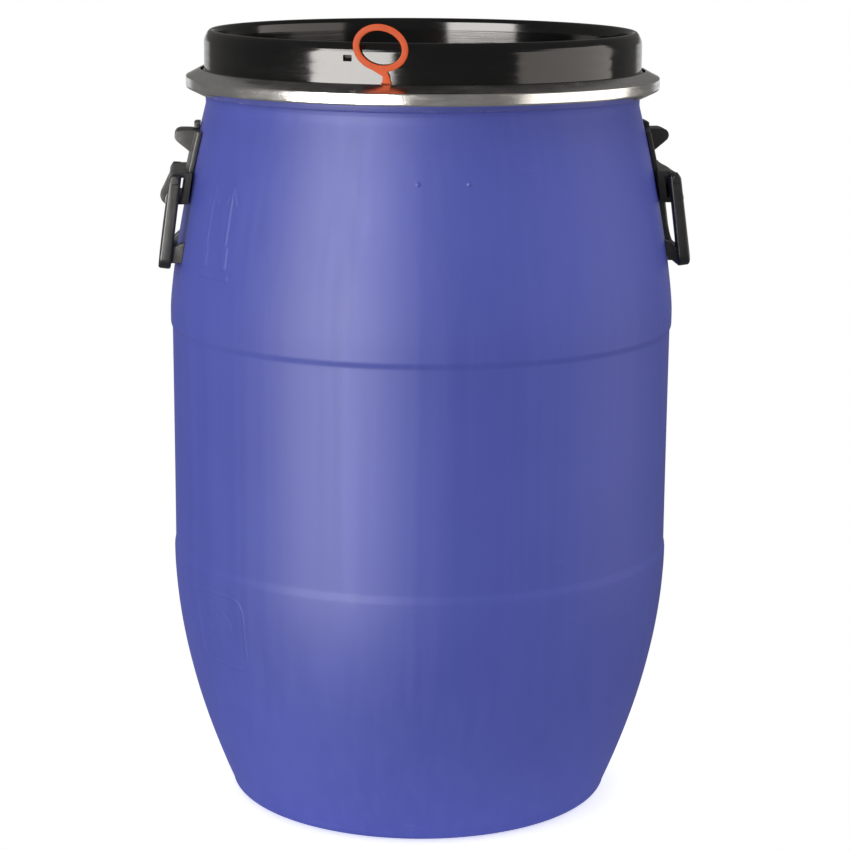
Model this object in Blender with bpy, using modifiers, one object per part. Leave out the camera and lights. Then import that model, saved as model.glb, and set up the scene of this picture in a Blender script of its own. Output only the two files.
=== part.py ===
"""Open head plastic drum, 60 litre size, closed by a lever-lock clamp ring.

The drum stands on z = 0 with its axis on +Z. The two bail handles are on -X and +X,
the front of the drum faces -Y, and the ring's closing lever is at the rear, on +Y.
Sizes are in metres. Profiles are (radius, height) pairs unless said otherwise.
"""

import math

import bmesh
import bpy
from mathutils import Matrix

GAP = 0.0003
SEGMENTS = 64

# barrel
WALL = 0.003
LOWER_R = 0.2010
FOOT_R = 0.1510
FOOT_CORNER = 0.009
FOOT_FLAT_OUTER = 0.142
FOOT_FLAT_INNER = 0.120
LOWER_POWER = 1.86
LOW_STEP_Z = 0.2060
LOW_STEP_HEIGHT = 0.0080
BAND_R = 0.2000
BAND_TOP_R = 0.2004
HIGH_STEP_Z = 0.3850
HIGH_STEP_HEIGHT = 0.0065
SHOULDER_R = 0.2018
SHOULDER_Z = 0.4020
SHOULDER_POWER = 1.37
NECK_R = 0.1721
NECK_Z = 0.5640
MOUTH_R = 0.1686
RIM_R = 0.1838
RIM_TOP_Z = 0.5833
RIM_SHELF_Z = 0.5814

# lid
LID_WALL_R = 0.1730
LID_WALL = 0.0030
CREST_Z = 0.6220
PANEL_Z = 0.5935
PANEL_R = 0.1585
PANEL_THICK = 0.0032
PANEL_RISE = 0.0014
PLUG_R = 0.1672
PLUG_BOTTOM_Z = 0.5762
GROOVE_TOP_Z = 0.5860
FLANGE_EDGE_Z = 0.5853
FLANGE_SLOPE = 0.53

# clamp ring and its closure, in plan measured from +Y towards +X
RING_R = 0.1876
RING_MID_Z = 0.5825
RING_SPLIT_FROM = math.radians(-4.2)
RING_SPLIT_TO = math.radians(-1.2)
LEVER_PIN_R = 0.1930
LEVER_PIN_ANGLE = math.radians(3.0)
BOW_PIN_R = 0.1908
BOW_PIN_ANGLE = math.radians(9.5)
BOW_HOOK_R = 0.1905
BOW_HOOK_ANGLE = math.radians(-11.7)
BOW_WIRE = 0.0014
BOW_HALF_HEIGHT = 0.0113
LEVER_HALF_HEIGHT = 0.0083
LEVER_SHEET = 0.0012
LEVER_EAR_R = 0.0050
LEVER_OUTER_R = 0.1982
LEVER_INNER_R = 0.1889
LEVER_END = math.radians(38.0)
LEVER_TAIL = math.radians(42.5)
LEVER_FLARE = 0.0065
PIN_R = 0.0020
LUG_HALF_HEIGHT = 0.0068

# handles
HOOD_HALF_WIDTH = 0.0390
STRAP_HALF_WIDTH = 0.0300
NOSE_HALF_WIDTH = 0.0130
CLIP_HALF_WIDTH = 0.0100
STRAP_THICK = 0.0045
STRAP_TOP_Z = 0.5440
HOOD_BOTTOM_Z = 0.4885
BARREL_CLEARANCE = 0.0004
BOSS_R = 0.0042
BAIL_PIVOT_X = 0.1968
BAIL_PIVOT_Z = 0.5085
BAIL_ARM_GAP = 0.0004
BAIL_ARM = 0.0100
BAIL_THICK = 0.0098
BAIL_BAR = 0.0110
BAIL_DROP = 0.0706
BAIL_LEAN = math.radians(7.5)
BAIL_INNER_CORNER = 0.014
BAIL_OUTER_CORNER = 0.010
BAIL_EDGE = 0.0016
BAIL_PIN_R = 0.0020
STEEL_PIN_STEPS = 16

# tamper seal
SEAL_ANGLE = math.radians(-13.8)
SEAL_R = 0.1744
SEAL_THICK = 0.0019
SEAL_BASE_Z = 0.5917
SEAL_CENTRE = (-0.0042, 0.0267)
SEAL_OUTER = (0.0206, 0.0170)
SEAL_BAND = 0.0047
SEAL_TILT = math.radians(-14.0)


for old in list(bpy.data.objects):
    bpy.data.objects.remove(old)

drum = bpy.data.collections.new("open_head_drum")
cutters = bpy.data.collections.new("cutters")
bpy.context.scene.collection.children.link(drum)
bpy.context.scene.collection.children.link(cutters)


def material(name, colour, roughness, metallic):
    made = bpy.data.materials.new(name)
    made.use_nodes = True
    shader = made.node_tree.nodes["Principled BSDF"]
    shader.inputs["Base Color"].default_value = (*colour, 1.0)
    shader.inputs["Roughness"].default_value = roughness
    shader.inputs["Metallic"].default_value = metallic
    return made


BODY_BLUE = ((0.075, 0.085, 0.36), 0.38, 0.0)
GLOSS_BLACK = ((0.012, 0.012, 0.014), 0.12, 0.0)
SATIN_BLACK = ((0.018, 0.018, 0.020), 0.35, 0.0)
RUBBER_BLACK = ((0.020, 0.020, 0.020), 0.75, 0.0)
GALVANISED = ((0.72, 0.73, 0.75), 0.18, 1.0)
PIN_STEEL = ((0.55, 0.56, 0.58), 0.30, 1.0)
SEAL_ORANGE = ((0.85, 0.12, 0.05), 0.40, 0.0)


def place(obj, finish):
    """Puts an object in the drum's collection and gives it a material of its own."""
    drum.objects.link(obj)
    obj.data.materials.clear()
    obj.data.materials.append(material(obj.name, *finish))
    return obj


def hide(obj):
    cutters.objects.link(obj)
    obj.hide_render = True
    obj.display_type = "WIRE"
    return obj


def turned(name, profile, closed=False, steps=SEGMENTS):
    """A profile turned once round Z. It runs down the outer side."""
    mesh = bpy.data.meshes.new(name)
    build = bmesh.new()
    points = [build.verts.new((radius, 0.0, height)) for radius, height in profile]
    for start, end in zip(points, points[1:]):
        build.edges.new((start, end))
    if closed:
        build.edges.new((points[-1], points[0]))
    build.to_mesh(mesh)
    build.free()
    obj = bpy.data.objects.new(name, mesh)
    screw = obj.modifiers.new("turn", "SCREW")
    screw.axis = "Z"
    screw.steps = steps
    screw.render_steps = steps
    screw.use_merge_vertices = True
    screw.merge_threshold = 0.00005
    return obj


def solid_from_curve(name, curve):
    """Turns a closed curve shape into a mesh object that a Boolean can use."""
    holder = bpy.data.objects.new(name + "_curve", curve)
    bpy.context.scene.collection.objects.link(holder)
    bpy.context.view_layer.update()
    shape = holder.evaluated_get(bpy.context.evaluated_depsgraph_get())
    mesh = bpy.data.meshes.new_from_object(shape)
    mesh.name = name
    bpy.data.objects.remove(holder)
    bpy.data.curves.remove(curve)
    weld = bmesh.new()
    weld.from_mesh(mesh)
    bmesh.ops.remove_doubles(weld, verts=weld.verts, dist=0.00001)
    bmesh.ops.recalc_face_normals(weld, faces=weld.faces)
    weld.to_mesh(mesh)
    weld.free()
    return bpy.data.objects.new(name, mesh)


def plate(name, outlines, thickness):
    """Flat outlines in local XY, the first one outside, thickened to both sides."""
    curve = bpy.data.curves.new(name, "CURVE")
    curve.dimensions = "2D"
    curve.fill_mode = "BOTH"
    curve.extrude = thickness / 2
    for outline in outlines:
        spline = curve.splines.new("POLY")
        spline.points.add(len(outline) - 1)
        for point, (across, up) in zip(spline.points, outline):
            point.co = (across, up, 0.0, 1.0)
        spline.use_cyclic_u = True
    return solid_from_curve(name, curve)


def tube(name, path, radius, fineness=2):
    """A round bar bent along a closed path."""
    curve = bpy.data.curves.new(name, "CURVE")
    curve.dimensions = "3D"
    curve.bevel_depth = radius
    curve.bevel_resolution = fineness
    spline = curve.splines.new("POLY")
    spline.points.add(len(path) - 1)
    for point, where in zip(spline.points, path):
        point.co = (*where, 1.0)
    spline.use_cyclic_u = True
    return solid_from_curve(name, curve)


def boolean(obj, other, operation):
    step = obj.modifiers.new(other.name, "BOOLEAN")
    step.solver = "EXACT"
    step.operation = operation
    step.object = other
    return obj


def rod(name, radius, half_length, steps=STEEL_PIN_STEPS):
    """A plain round bar along local Z."""
    return turned(
        name,
        [(0.0, half_length), (radius, half_length), (radius, -half_length), (0.0, -half_length)],
        steps=steps,
    )


def upright_x(obj, mirrored=False):
    """Local X to world X and local Y to world Z, or the same turned half round Z."""
    obj.rotation_euler = (math.pi / 2, 0.0, math.pi if mirrored else 0.0)
    return obj


def in_plan(radius, angle):
    """A point in plan, its angle measured from +Y towards +X."""
    return (radius * math.sin(angle), radius * math.cos(angle))


def arc(radius, start, end, count):
    """Points in plan on a circle about the drum's axis."""
    span = (end - start) / (count - 1)
    return [in_plan(radius, start + step * span) for step in range(count)]


def circle_arc(centre, radius, start, end, count):
    """Points on a circle about any centre, its angles from +X towards +Y."""
    span = (end - start) / (count - 1)
    return [
        (
            centre[0] + radius * math.cos(start + step * span),
            centre[1] + radius * math.sin(start + step * span),
        )
        for step in range(count)
    ]


def body_radius(height):
    """The barrel's outer radius at a height between the foot and the neck."""
    if height < LOW_STEP_Z:
        fall = ((LOW_STEP_Z - height) / LOW_STEP_Z) ** LOWER_POWER
        return LOWER_R - (LOWER_R - FOOT_R) * fall
    if height < LOW_STEP_Z + LOW_STEP_HEIGHT:
        return LOWER_R + (BAND_R - LOWER_R) * (height - LOW_STEP_Z) / LOW_STEP_HEIGHT
    if height < HIGH_STEP_Z:
        rise = (height - LOW_STEP_Z - LOW_STEP_HEIGHT) / (
            HIGH_STEP_Z - LOW_STEP_Z - LOW_STEP_HEIGHT
        )
        return BAND_R + (BAND_TOP_R - BAND_R) * rise**2
    if height < HIGH_STEP_Z + HIGH_STEP_HEIGHT:
        return BAND_TOP_R + (SHOULDER_R - BAND_TOP_R) * (
            height - HIGH_STEP_Z
        ) / HIGH_STEP_HEIGHT
    if height < SHOULDER_Z:
        return SHOULDER_R
    fall = ((height - SHOULDER_Z) / (NECK_Z - SHOULDER_Z)) ** SHOULDER_POWER
    return SHOULDER_R - (SHOULDER_R - NECK_R) * min(fall, 1.0)


def spread(start, end, count):
    return [start + (end - start) * step / (count - 1) for step in range(count)]


def barrel_stations():
    """Heights of the barrel's rings, from the foot corner up to the neck."""
    low = spread(FOOT_CORNER, LOW_STEP_Z, 11)
    band = spread(LOW_STEP_Z + LOW_STEP_HEIGHT, HIGH_STEP_Z, 3)
    shoulder = spread(SHOULDER_Z, NECK_Z, 10)
    return low + band + [HIGH_STEP_Z + HIGH_STEP_HEIGHT] + shoulder


def foot_corner():
    """The rounded edge between the flat foot and the barrel."""
    top_r = body_radius(FOOT_CORNER)
    points = []
    for step in range(1, 4):
        turn = step / 4 * math.pi / 2
        points.append(
            (
                FOOT_FLAT_OUTER + (top_r - FOOT_FLAT_OUTER) * math.cos(turn),
                FOOT_CORNER * (1 - math.sin(turn)),
            )
        )
    return points


def body_profile():
    outside = [(body_radius(z), z) for z in reversed(barrel_stations())]
    inside = [(body_radius(z) - WALL, z) for z in barrel_stations()[1::2]]
    floor = [
        (0.0, 0.0095),
        (0.100, 0.0095),
        (FOOT_FLAT_INNER - 0.006, 0.0075),
        (FOOT_FLAT_INNER + 0.001, 0.0036),
        (FOOT_FLAT_OUTER - 0.001, 0.0036),
        (FOOT_FLAT_OUTER + 0.0065, 0.0085),
    ]
    mouth = [
        (MOUTH_R, 0.5720),
        (MOUTH_R, 0.5795),
        (0.1694, 0.5824),
        (0.1708, RIM_TOP_Z),
        (0.1766, RIM_TOP_Z),
        (0.1778, 0.5823),
        (0.1784, RIM_SHELF_Z),
        (RIM_R - 0.0009, RIM_SHELF_Z),
        (RIM_R, RIM_SHELF_Z - 0.0008),
        (RIM_R, 0.5786),
        (RIM_R - 0.0010, 0.5772),
        (0.1744, 0.5732),
        (0.1727, 0.5712),
        (NECK_R, 0.5680),
    ]
    base = [
        (FOOT_FLAT_OUTER, 0.0),
        (FOOT_FLAT_INNER, 0.0),
        (FOOT_FLAT_INNER - 0.008, 0.0045),
        (0.100, 0.0060),
        (0.0, 0.0060),
    ]
    return floor + inside + mouth + outside + foot_corner() + base


def on_body(angle, height, lift):
    """A point on the barrel, its angle measured from -Y towards +X."""
    radius = body_radius(height) + lift
    return (radius * math.sin(angle), -radius * math.cos(angle), height)


RELIEF_R = 0.0009
RELIEF_LIFT = 0.0001
ARROW_HEIGHT = 0.0620
ARROW_HEAD = 0.0130
ARROW_SHAFT = 0.0026
ARROW_BARB = 0.0065
ARROW_BASE_Z = 0.4480
ARROW_ANGLES = (math.radians(-63.0), math.radians(-55.2))
PANEL_ANGLE = math.radians(-57.0)
PANEL_HALF_WIDTH = 0.0315
PANEL_MID_Z = 0.1640
PANEL_HALF_HEIGHT = 0.0290
PANEL_CORNER = 0.0120
BUMP_ANGLES = (math.radians(-5.9), math.radians(5.9))
BUMP_Z = 0.5205
BUMP_R = 0.0022


def relief_loop(name, angle, outline):
    """A raised line on the barrel along a closed outline of (across, height) points."""
    path = [
        on_body(angle + across / body_radius(height), height, RELIEF_LIFT)
        for across, height in outline
    ]
    return hide(tube(name, path, RELIEF_R, fineness=1))


def subdivided(corners, longest):
    """The closed outline with extra points wherever a side is long."""
    points = []
    for start, end in zip(corners, corners[1:] + corners[:1]):
        count = max(1, math.ceil(math.dist(start, end) / longest))
        for step in range(count):
            part = step / count
            points.append(
                (
                    start[0] + (end[0] - start[0]) * part,
                    start[1] + (end[1] - start[1]) * part,
                )
            )
    return points


def arrow_outline():
    """An upward arrow, both halves mirrored, in (across, height)."""
    half = [
        (ARROW_SHAFT, ARROW_BASE_Z),
        (ARROW_SHAFT, ARROW_BASE_Z + ARROW_HEIGHT - ARROW_HEAD),
        (ARROW_BARB, ARROW_BASE_Z + ARROW_HEIGHT - ARROW_HEAD),
    ]
    tip = [(0.0, ARROW_BASE_Z + ARROW_HEIGHT)]
    return subdivided(half + tip + [(-x, z) for x, z in reversed(half)], 0.018)


def rounded_box(half_width, half_height, corner, middle, count=5):
    """A rounded rectangle's outline in (across, height)."""
    points = []
    for quarter, (side, level) in enumerate(((1, 1), (-1, 1), (-1, -1), (1, -1))):
        centre = (
            side * (half_width - corner),
            middle + level * (half_height - corner),
        )
        start = quarter * math.pi / 2
        points += circle_arc(centre, corner, start, start + math.pi / 2, count)
    return points


body = turned("drum_body", body_profile())

for number, angle in enumerate(ARROW_ANGLES):
    boolean(body, relief_loop(f"arrow_{number}", angle, arrow_outline()), "UNION")
boolean(
    body,
    relief_loop(
        "arrow_line",
        sum(ARROW_ANGLES) / 2,
        subdivided(
            [
                (0.0205, ARROW_BASE_Z - 0.0040),
                (0.0205, ARROW_BASE_Z - 0.0085),
                (-0.0205, ARROW_BASE_Z - 0.0085),
                (-0.0205, ARROW_BASE_Z - 0.0040),
            ],
            0.010,
        ),
    ),
    "UNION",
)
boolean(
    body,
    relief_loop(
        "panel_line",
        PANEL_ANGLE,
        subdivided(
            rounded_box(PANEL_HALF_WIDTH, PANEL_HALF_HEIGHT, PANEL_CORNER, PANEL_MID_Z),
            0.010,
        ),
    ),
    "UNION",
)


def dome(name, radius, where):
    """A small round boss, half sunk in the wall."""
    mesh = bpy.data.meshes.new(name)
    build = bmesh.new()
    bmesh.ops.create_icosphere(build, subdivisions=2, radius=radius)
    build.to_mesh(mesh)
    build.free()
    obj = hide(bpy.data.objects.new(name, mesh))
    obj.location = where
    return obj


for number, angle in enumerate(BUMP_ANGLES):
    boolean(body, dome(f"bump_{number}", BUMP_R, on_body(angle, BUMP_Z, -0.0007)), "UNION")
place(body, BODY_BLUE)


# lid: a rim hollow on its underside, a sunk panel and a flange for the clamp ring
def flange_top(radius):
    """The lid flange slopes down outward, under the ring's upper leg."""
    return FLANGE_EDGE_Z + FLANGE_SLOPE * (RIM_R - radius)


def lid_profile():
    inner_wall = LID_WALL_R - 0.0096
    top = [
        (0.0, PANEL_Z),
        (0.050, PANEL_Z),
        (0.052, PANEL_Z + PANEL_RISE),
        (0.108, PANEL_Z + PANEL_RISE),
        (0.110, PANEL_Z),
        (PANEL_R, PANEL_Z),
        (PANEL_R + 0.0028, PANEL_Z + 0.0015),
        (PANEL_R + 0.0042, PANEL_Z + 0.0050),
        (inner_wall, 0.6130),
    ]
    crest = [
        (0.1642, 0.6186),
        (0.1653, 0.6211),
        (0.1670, CREST_Z),
        (0.1688, 0.6217),
        (0.1704, 0.6200),
        (0.1719, 0.6170),
        (0.1728, 0.6144),
        (LID_WALL_R, 0.6120),
    ]
    flange = [
        (LID_WALL_R, 0.5920),
        (LID_WALL_R + 0.0006, 0.5912),
        (0.1750, flange_top(0.1750)),
        (RIM_R - 0.0006, flange_top(RIM_R - 0.0006)),
        (RIM_R, FLANGE_EDGE_Z - 0.0003),
        (RIM_R, 0.5824),
        (RIM_R - 0.0006, 0.5818),
        (0.1798, 0.5818),
        (0.1792, 0.5824),
        (0.1792, GROOVE_TOP_Z),
        (0.1706, GROOVE_TOP_Z),
    ]
    hollow = [
        (LID_WALL_R - LID_WALL, 0.5875),
        (LID_WALL_R - LID_WALL, 0.6110),
        (0.1686, 0.6162),
        (0.1675, 0.6172),
        (0.1665, 0.6158),
        (0.1666, 0.6080),
    ]
    plug = [
        (PLUG_R - 0.0002, 0.5885),
        (PLUG_R, 0.5776),
        (PLUG_R - 0.0008, PLUG_BOTTOM_Z),
        (PLUG_R - 0.0036, PLUG_BOTTOM_Z),
        (PLUG_R - 0.0042, PANEL_Z - PANEL_THICK - 0.0010),
        (PANEL_R - 0.0010, PANEL_Z - PANEL_THICK),
        (0.1088, PANEL_Z - PANEL_THICK),
        (0.1068, PANEL_Z - PANEL_THICK + PANEL_RISE),
        (0.0532, PANEL_Z - PANEL_THICK + PANEL_RISE),
        (0.0512, PANEL_Z - PANEL_THICK),
        (0.0, PANEL_Z - PANEL_THICK),
    ]
    return top + crest + flange + hollow + plug


lid = turned("lid", lid_profile())
POCKET_ANGLE = math.radians(-23.6)
POCKET_Z = 0.6105
pocket = hide(plate("wall_pocket", [rounded_box(0.0034, 0.0021, 0.0006, 0.0, 3)], 0.003))
pocket.rotation_euler = (math.pi / 2, 0.0, POCKET_ANGLE)
pocket.location = (
    LID_WALL_R * math.sin(POCKET_ANGLE),
    -LID_WALL_R * math.cos(POCKET_ANGLE),
    POCKET_Z,
)
boolean(lid, pocket, "DIFFERENCE")
place(lid, GLOSS_BLACK)

gasket = turned(
    "lid_gasket",
    [
        (0.1778, GROOVE_TOP_Z - GAP),
        (0.1787, GROOVE_TOP_Z - GAP - 0.0008),
        (0.1787, RIM_TOP_Z + GAP + 0.0008),
        (0.1779, RIM_TOP_Z + GAP),
        (0.1716, RIM_TOP_Z + GAP),
        (0.1708, RIM_TOP_Z + GAP + 0.0008),
        (0.1708, GROOVE_TOP_Z - GAP - 0.0008),
        (0.1716, GROOVE_TOP_Z - GAP),
    ],
    closed=True,
)
place(gasket, RUBBER_BLACK)


# clamp ring: sheet steel channel round the two flanges, split at the rear
def ring_profile():
    outer = [
        (0.1762, 0.5919),
        (0.1773, 0.5915),
        (0.1858, 0.5870),
        (0.1871, 0.5864),
        (RING_R, 0.5857),
        (RING_R, 0.5788),
        (0.1871, 0.5775),
        (0.1854, 0.5765),
        (0.1772, 0.5725),
        (0.1763, 0.5721),
    ]
    inner = [
        (0.1759, 0.5731),
        (0.1766, 0.5737),
        (0.1849, 0.5777),
        (0.1861, 0.5786),
        (RING_R - 0.0013, 0.5793),
        (RING_R - 0.0013, 0.5847),
        (0.1860, 0.5853),
        (0.1850, 0.5859),
        (0.1766, 0.5903),
        (0.1759, 0.5909),
    ]
    return outer + inner


ring = turned("clamp_ring", ring_profile(), closed=True)
split_middle = (RING_SPLIT_FROM + RING_SPLIT_TO) / 2
split = hide(
    plate(
        "ring_split",
        [
            [in_plan(0.165, RING_SPLIT_FROM)]
            + arc(0.200, RING_SPLIT_FROM, RING_SPLIT_TO, 3)
            + [in_plan(0.165, RING_SPLIT_TO), in_plan(0.160, split_middle)]
        ],
        0.040,
    )
)
split.location = (0.0, 0.0, RING_MID_Z)
boolean(ring, split, "DIFFERENCE")
place(ring, GALVANISED)

lever_pin_at = in_plan(LEVER_PIN_R, LEVER_PIN_ANGLE)
bow_pin_at = in_plan(BOW_PIN_R, BOW_PIN_ANGLE)
bow_hook_at = in_plan(BOW_HOOK_R, BOW_HOOK_ANGLE)


def moved_to(outline, origin):
    return [(across - origin[0], along - origin[1]) for across, along in outline]


def ear(radius):
    """The round end about the lever pin, from its inner side round to its outer side."""
    start = -math.pi / 2 - LEVER_PIN_ANGLE
    return circle_arc(lever_pin_at, radius, start, start - math.pi, 9)


lug_outline = (
    arc(RING_R + GAP, math.radians(6.5), math.radians(-0.6), 5)
    + circle_arc(
        lever_pin_at, 0.0042, math.pi - LEVER_PIN_ANGLE, -LEVER_PIN_ANGLE, 9
    )
)
lug = plate("ring_lever_lug", [lug_outline], 2 * LUG_HALF_HEIGHT)
lug.location = (0.0, 0.0, RING_MID_Z)
lug_hole = hide(rod("lug_hole", PIN_R + GAP, 0.020))
lug_hole.location = (*lever_pin_at, RING_MID_Z)
boolean(lug, lug_hole, "DIFFERENCE")
place(lug, PIN_STEEL)

catch_outline = (
    arc(RING_R + GAP, math.radians(-11.25), math.radians(-4.8), 5)
    + arc(RING_R + 0.0018, math.radians(-4.8), math.radians(-8.6), 4)
    + arc(RING_R + 0.0080, math.radians(-9.2), math.radians(-10.55), 3)
)
catch = plate("ring_catch", [catch_outline], 2 * LUG_HALF_HEIGHT)
catch.location = (0.0, 0.0, RING_MID_Z)
place(catch, PIN_STEEL)


def lever_blank():
    """The pressed lever's plan: round ear, long arm along the ring, flared tail."""
    flare_out = [
        in_plan(LEVER_OUTER_R + LEVER_FLARE * part**2, LEVER_END + part * (LEVER_TAIL - LEVER_END))
        for part in (0.25, 0.5, 0.75, 1.0)
    ]
    flare_in = [
        in_plan(
            LEVER_OUTER_R - 0.0034 + LEVER_FLARE * part**2,
            LEVER_END + part * (LEVER_TAIL - LEVER_END),
        )
        for part in (1.0, 0.5)
    ]
    return (
        ear(LEVER_EAR_R)
        + arc(LEVER_OUTER_R, LEVER_PIN_ANGLE + math.radians(0.8), LEVER_END, 12)
        + flare_out
        + flare_in
        + arc(LEVER_INNER_R, LEVER_END, LEVER_PIN_ANGLE + math.radians(1.2), 12)
    )


def lever_hollow():
    """What is pressed out between the lever's two flanges, in plan."""
    open_end = LEVER_PIN_ANGLE + math.radians(2.0)
    closed_end = LEVER_END - math.radians(0.6)
    return (
        [in_plan(0.180, LEVER_PIN_ANGLE - math.radians(4.0))]
        + [in_plan(0.206, LEVER_PIN_ANGLE - math.radians(4.0)), in_plan(0.206, open_end)]
        + arc(LEVER_OUTER_R - LEVER_SHEET, open_end, closed_end, 12)
        + [in_plan(0.180, closed_end), in_plan(0.178, (open_end + closed_end) / 2)]
    )


lever = plate("closing_lever", [moved_to(lever_blank(), lever_pin_at)], 2 * LEVER_HALF_HEIGHT)
lever.location = (*lever_pin_at, RING_MID_Z)
hollow = hide(
    plate("lever_hollow", [lever_hollow()], 2 * (LEVER_HALF_HEIGHT - LEVER_SHEET))
)
hollow.location = (0.0, 0.0, RING_MID_Z)
boolean(lever, hollow, "DIFFERENCE")
for name, radius, where in (
    ("lever_pin_hole", PIN_R + GAP, lever_pin_at),
    ("bow_pin_hole", BOW_WIRE + GAP, bow_pin_at),
):
    hole = hide(rod(name, radius, 0.020))
    hole.location = (*where, RING_MID_Z)
    boolean(lever, hole, "DIFFERENCE")
place(lever, GALVANISED)

PIN_HEAD_R = 0.0032
PIN_HEAD = 0.0008
pin_top = LEVER_HALF_HEIGHT + GAP
pin = turned(
    "lever_pin",
    [
        (0.0, pin_top + PIN_HEAD),
        (PIN_HEAD_R, pin_top + PIN_HEAD),
        (PIN_HEAD_R, pin_top),
        (PIN_R, pin_top),
        (PIN_R, -pin_top),
        (PIN_HEAD_R, -pin_top),
        (PIN_HEAD_R, -pin_top - PIN_HEAD),
        (0.0, -pin_top - PIN_HEAD),
    ],
    steps=16,
)
pin.location = (*lever_pin_at, RING_MID_Z)
place(pin, PIN_STEEL)


def bow_path():
    """The wire bow: a closed loop round two upright bars, about its own pivot."""
    reach = math.dist(bow_hook_at, bow_pin_at)
    toward = math.atan2(bow_hook_at[1] - bow_pin_at[1], bow_hook_at[0] - bow_pin_at[0])
    loop = []
    for quarter, (far, level) in enumerate(((1, 1), (0, 1), (0, -1), (1, -1))):
        centre = (
            reach - 0.003 if far else 0.003,
            level * (BOW_HALF_HEIGHT - 0.003),
        )
        start = quarter * math.pi / 2
        loop += circle_arc(centre, 0.003, start, start + math.pi / 2, 4)
    return [(along * math.cos(toward), along * math.sin(toward), up) for along, up in loop]


bow = tube("tension_bow", bow_path(), BOW_WIRE)
bow.location = (*bow_pin_at, RING_MID_Z)
place(bow, GALVANISED)


# tamper seal: a flat pull ring on a stem with a toothed foot
def tilted_ellipse(half_width, half_height, start, end, count):
    points = []
    for step in range(count):
        turn = start + (end - start) * step / (count - 1)
        across = half_width * math.cos(turn)
        up = half_height * math.sin(turn)
        points.append(
            (
                SEAL_CENTRE[0] + across * math.cos(SEAL_TILT) - up * math.sin(SEAL_TILT),
                SEAL_CENTRE[1] + across * math.sin(SEAL_TILT) + up * math.cos(SEAL_TILT),
            )
        )
    return points


def seal_outline():
    """The pull ring's outer edge running into the stem and its four teeth."""
    loop = tilted_ellipse(*SEAL_OUTER, math.radians(-64), math.radians(264), 36)
    stem = [(-0.0026, 0.0062), (-0.0026, 0.0024)]
    teeth = []
    for tooth in range(4):
        left = -0.0040 + tooth * 0.0020
        teeth += [(left, 0.0012), (left + 0.0010, 0.0)]
    return loop + stem + teeth + [(0.0040, 0.0012), (0.0030, 0.0030), (0.0026, 0.0062)]


seal_inner = tilted_ellipse(
    SEAL_OUTER[0] - SEAL_BAND, SEAL_OUTER[1] - SEAL_BAND, 0.0, 2 * math.pi * 27 / 28, 28
)
seal = plate("tamper_seal", [seal_outline(), seal_inner], SEAL_THICK)
seal.location = (
    SEAL_R * math.sin(SEAL_ANGLE),
    -SEAL_R * math.cos(SEAL_ANGLE),
    SEAL_BASE_Z,
)
seal.rotation_euler = (math.pi / 2, 0.0, SEAL_ANGLE)
place(seal, SEAL_ORANGE)


# handles: a bracket hugs the barrel, and a bail hangs on two pins in its hood
def barrel_side(offset, start, end, count):
    """Points beside the barrel's outer face, from one height to another."""
    return [(body_radius(z) + offset, z) for z in spread(start, end, count)]


def strap_profile():
    outer = barrel_side(STRAP_THICK, STRAP_TOP_Z, HOOD_BOTTOM_Z, 6)
    back = barrel_side(BARREL_CLEARANCE, HOOD_BOTTOM_Z, STRAP_TOP_Z, 6)
    return outer + back


HOOD_TOP_Z = 0.5133
HOOD_PROFILE = [
    (0.1870, HOOD_TOP_Z),
    (0.1975, HOOD_TOP_Z),
    (0.1998, 0.5118),
    (0.2028, 0.5060),
    (0.2060, 0.4992),
    (0.2084, 0.4945),
    (0.2090, 0.4915),
    (0.2082, 0.4892),
    (0.2062, HOOD_BOTTOM_Z),
    (0.1905, HOOD_BOTTOM_Z),
]
NOSE_OUTLINE = [
    (0.1800, 0.5440),
    (0.1840, 0.5445),
    (0.1915, 0.5446),
    (0.1950, 0.5436),
    (0.1966, 0.5412),
    (0.1970, 0.5388),
    (0.1960, 0.5362),
    (0.1925, 0.5330),
    (0.1890, 0.5302),
    (0.1862, 0.5278),
    (0.1840, 0.5262),
]
SLOT_OUTLINE = [
    (0.1919, 0.4924),
    (0.1936, 0.4924),
    (0.1936, 0.5080),
    (0.1920, 0.5094),
    (0.1893, 0.5094),
]
CLIP_OUTLINE = [
    (body_radius(0.5450) + BARREL_CLEARANCE, 0.5450),
    (body_radius(0.5502) + BARREL_CLEARANCE, 0.5502),
    (0.1800, 0.5502),
    (0.1813, 0.5490),
    (0.1815, 0.5450),
]
REST_OUTLINE = [
    (0.1880, 0.4430),
    (0.2030, 0.4430),
    (0.2030, 0.4540),
    (0.1984, 0.4540),
    (0.1950, 0.4572),
    (0.1880, 0.4600),
]
REST_Y = 0.0390
REST_HALF_WIDTH = 0.0050
ARM_TOP_CUT = [
    (0.1958, 0.5172),
    (0.2060, 0.5018),
    (0.2200, 0.5018),
    (0.2200, 0.5300),
    (0.1958, 0.5300),
]
PIN_DEPTH = 0.0090
BAIL_INNER_Y = HOOD_HALF_WIDTH + BAIL_ARM_GAP
BAIL_OUTER_Y = BAIL_INNER_Y + BAIL_ARM
BAIL_HEAD_R = 0.0036
BAIL_HEAD = 0.0014
BAIL_HEAD_EDGE = 0.0006
CUT_HALF = 0.0600
BLOCK_INNER = 0.1000
BLOCK_OUTER = 0.2300
BLOCK_BOTTOM = 0.4000
BLOCK_TOP = 0.6000

clearance = hide(
    turned(
        "barrel_clearance",
        [(0.0, 0.4800)]
        + barrel_side(BARREL_CLEARANCE, 0.4800, 0.4300, 5)
        + [(0.0, 0.4300)],
    )
)


def side_x(side):
    return -1.0 if side == "left" else 1.0


def side_plate(name, outline, half_width, side, middle_y=0.0):
    """An (x, z) outline on the right side, or turned half round Z onto the left side."""
    obj = hide(plate(name, [outline], 2 * half_width))
    obj.location.y = middle_y
    return upright_x(obj, side == "left")


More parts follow.
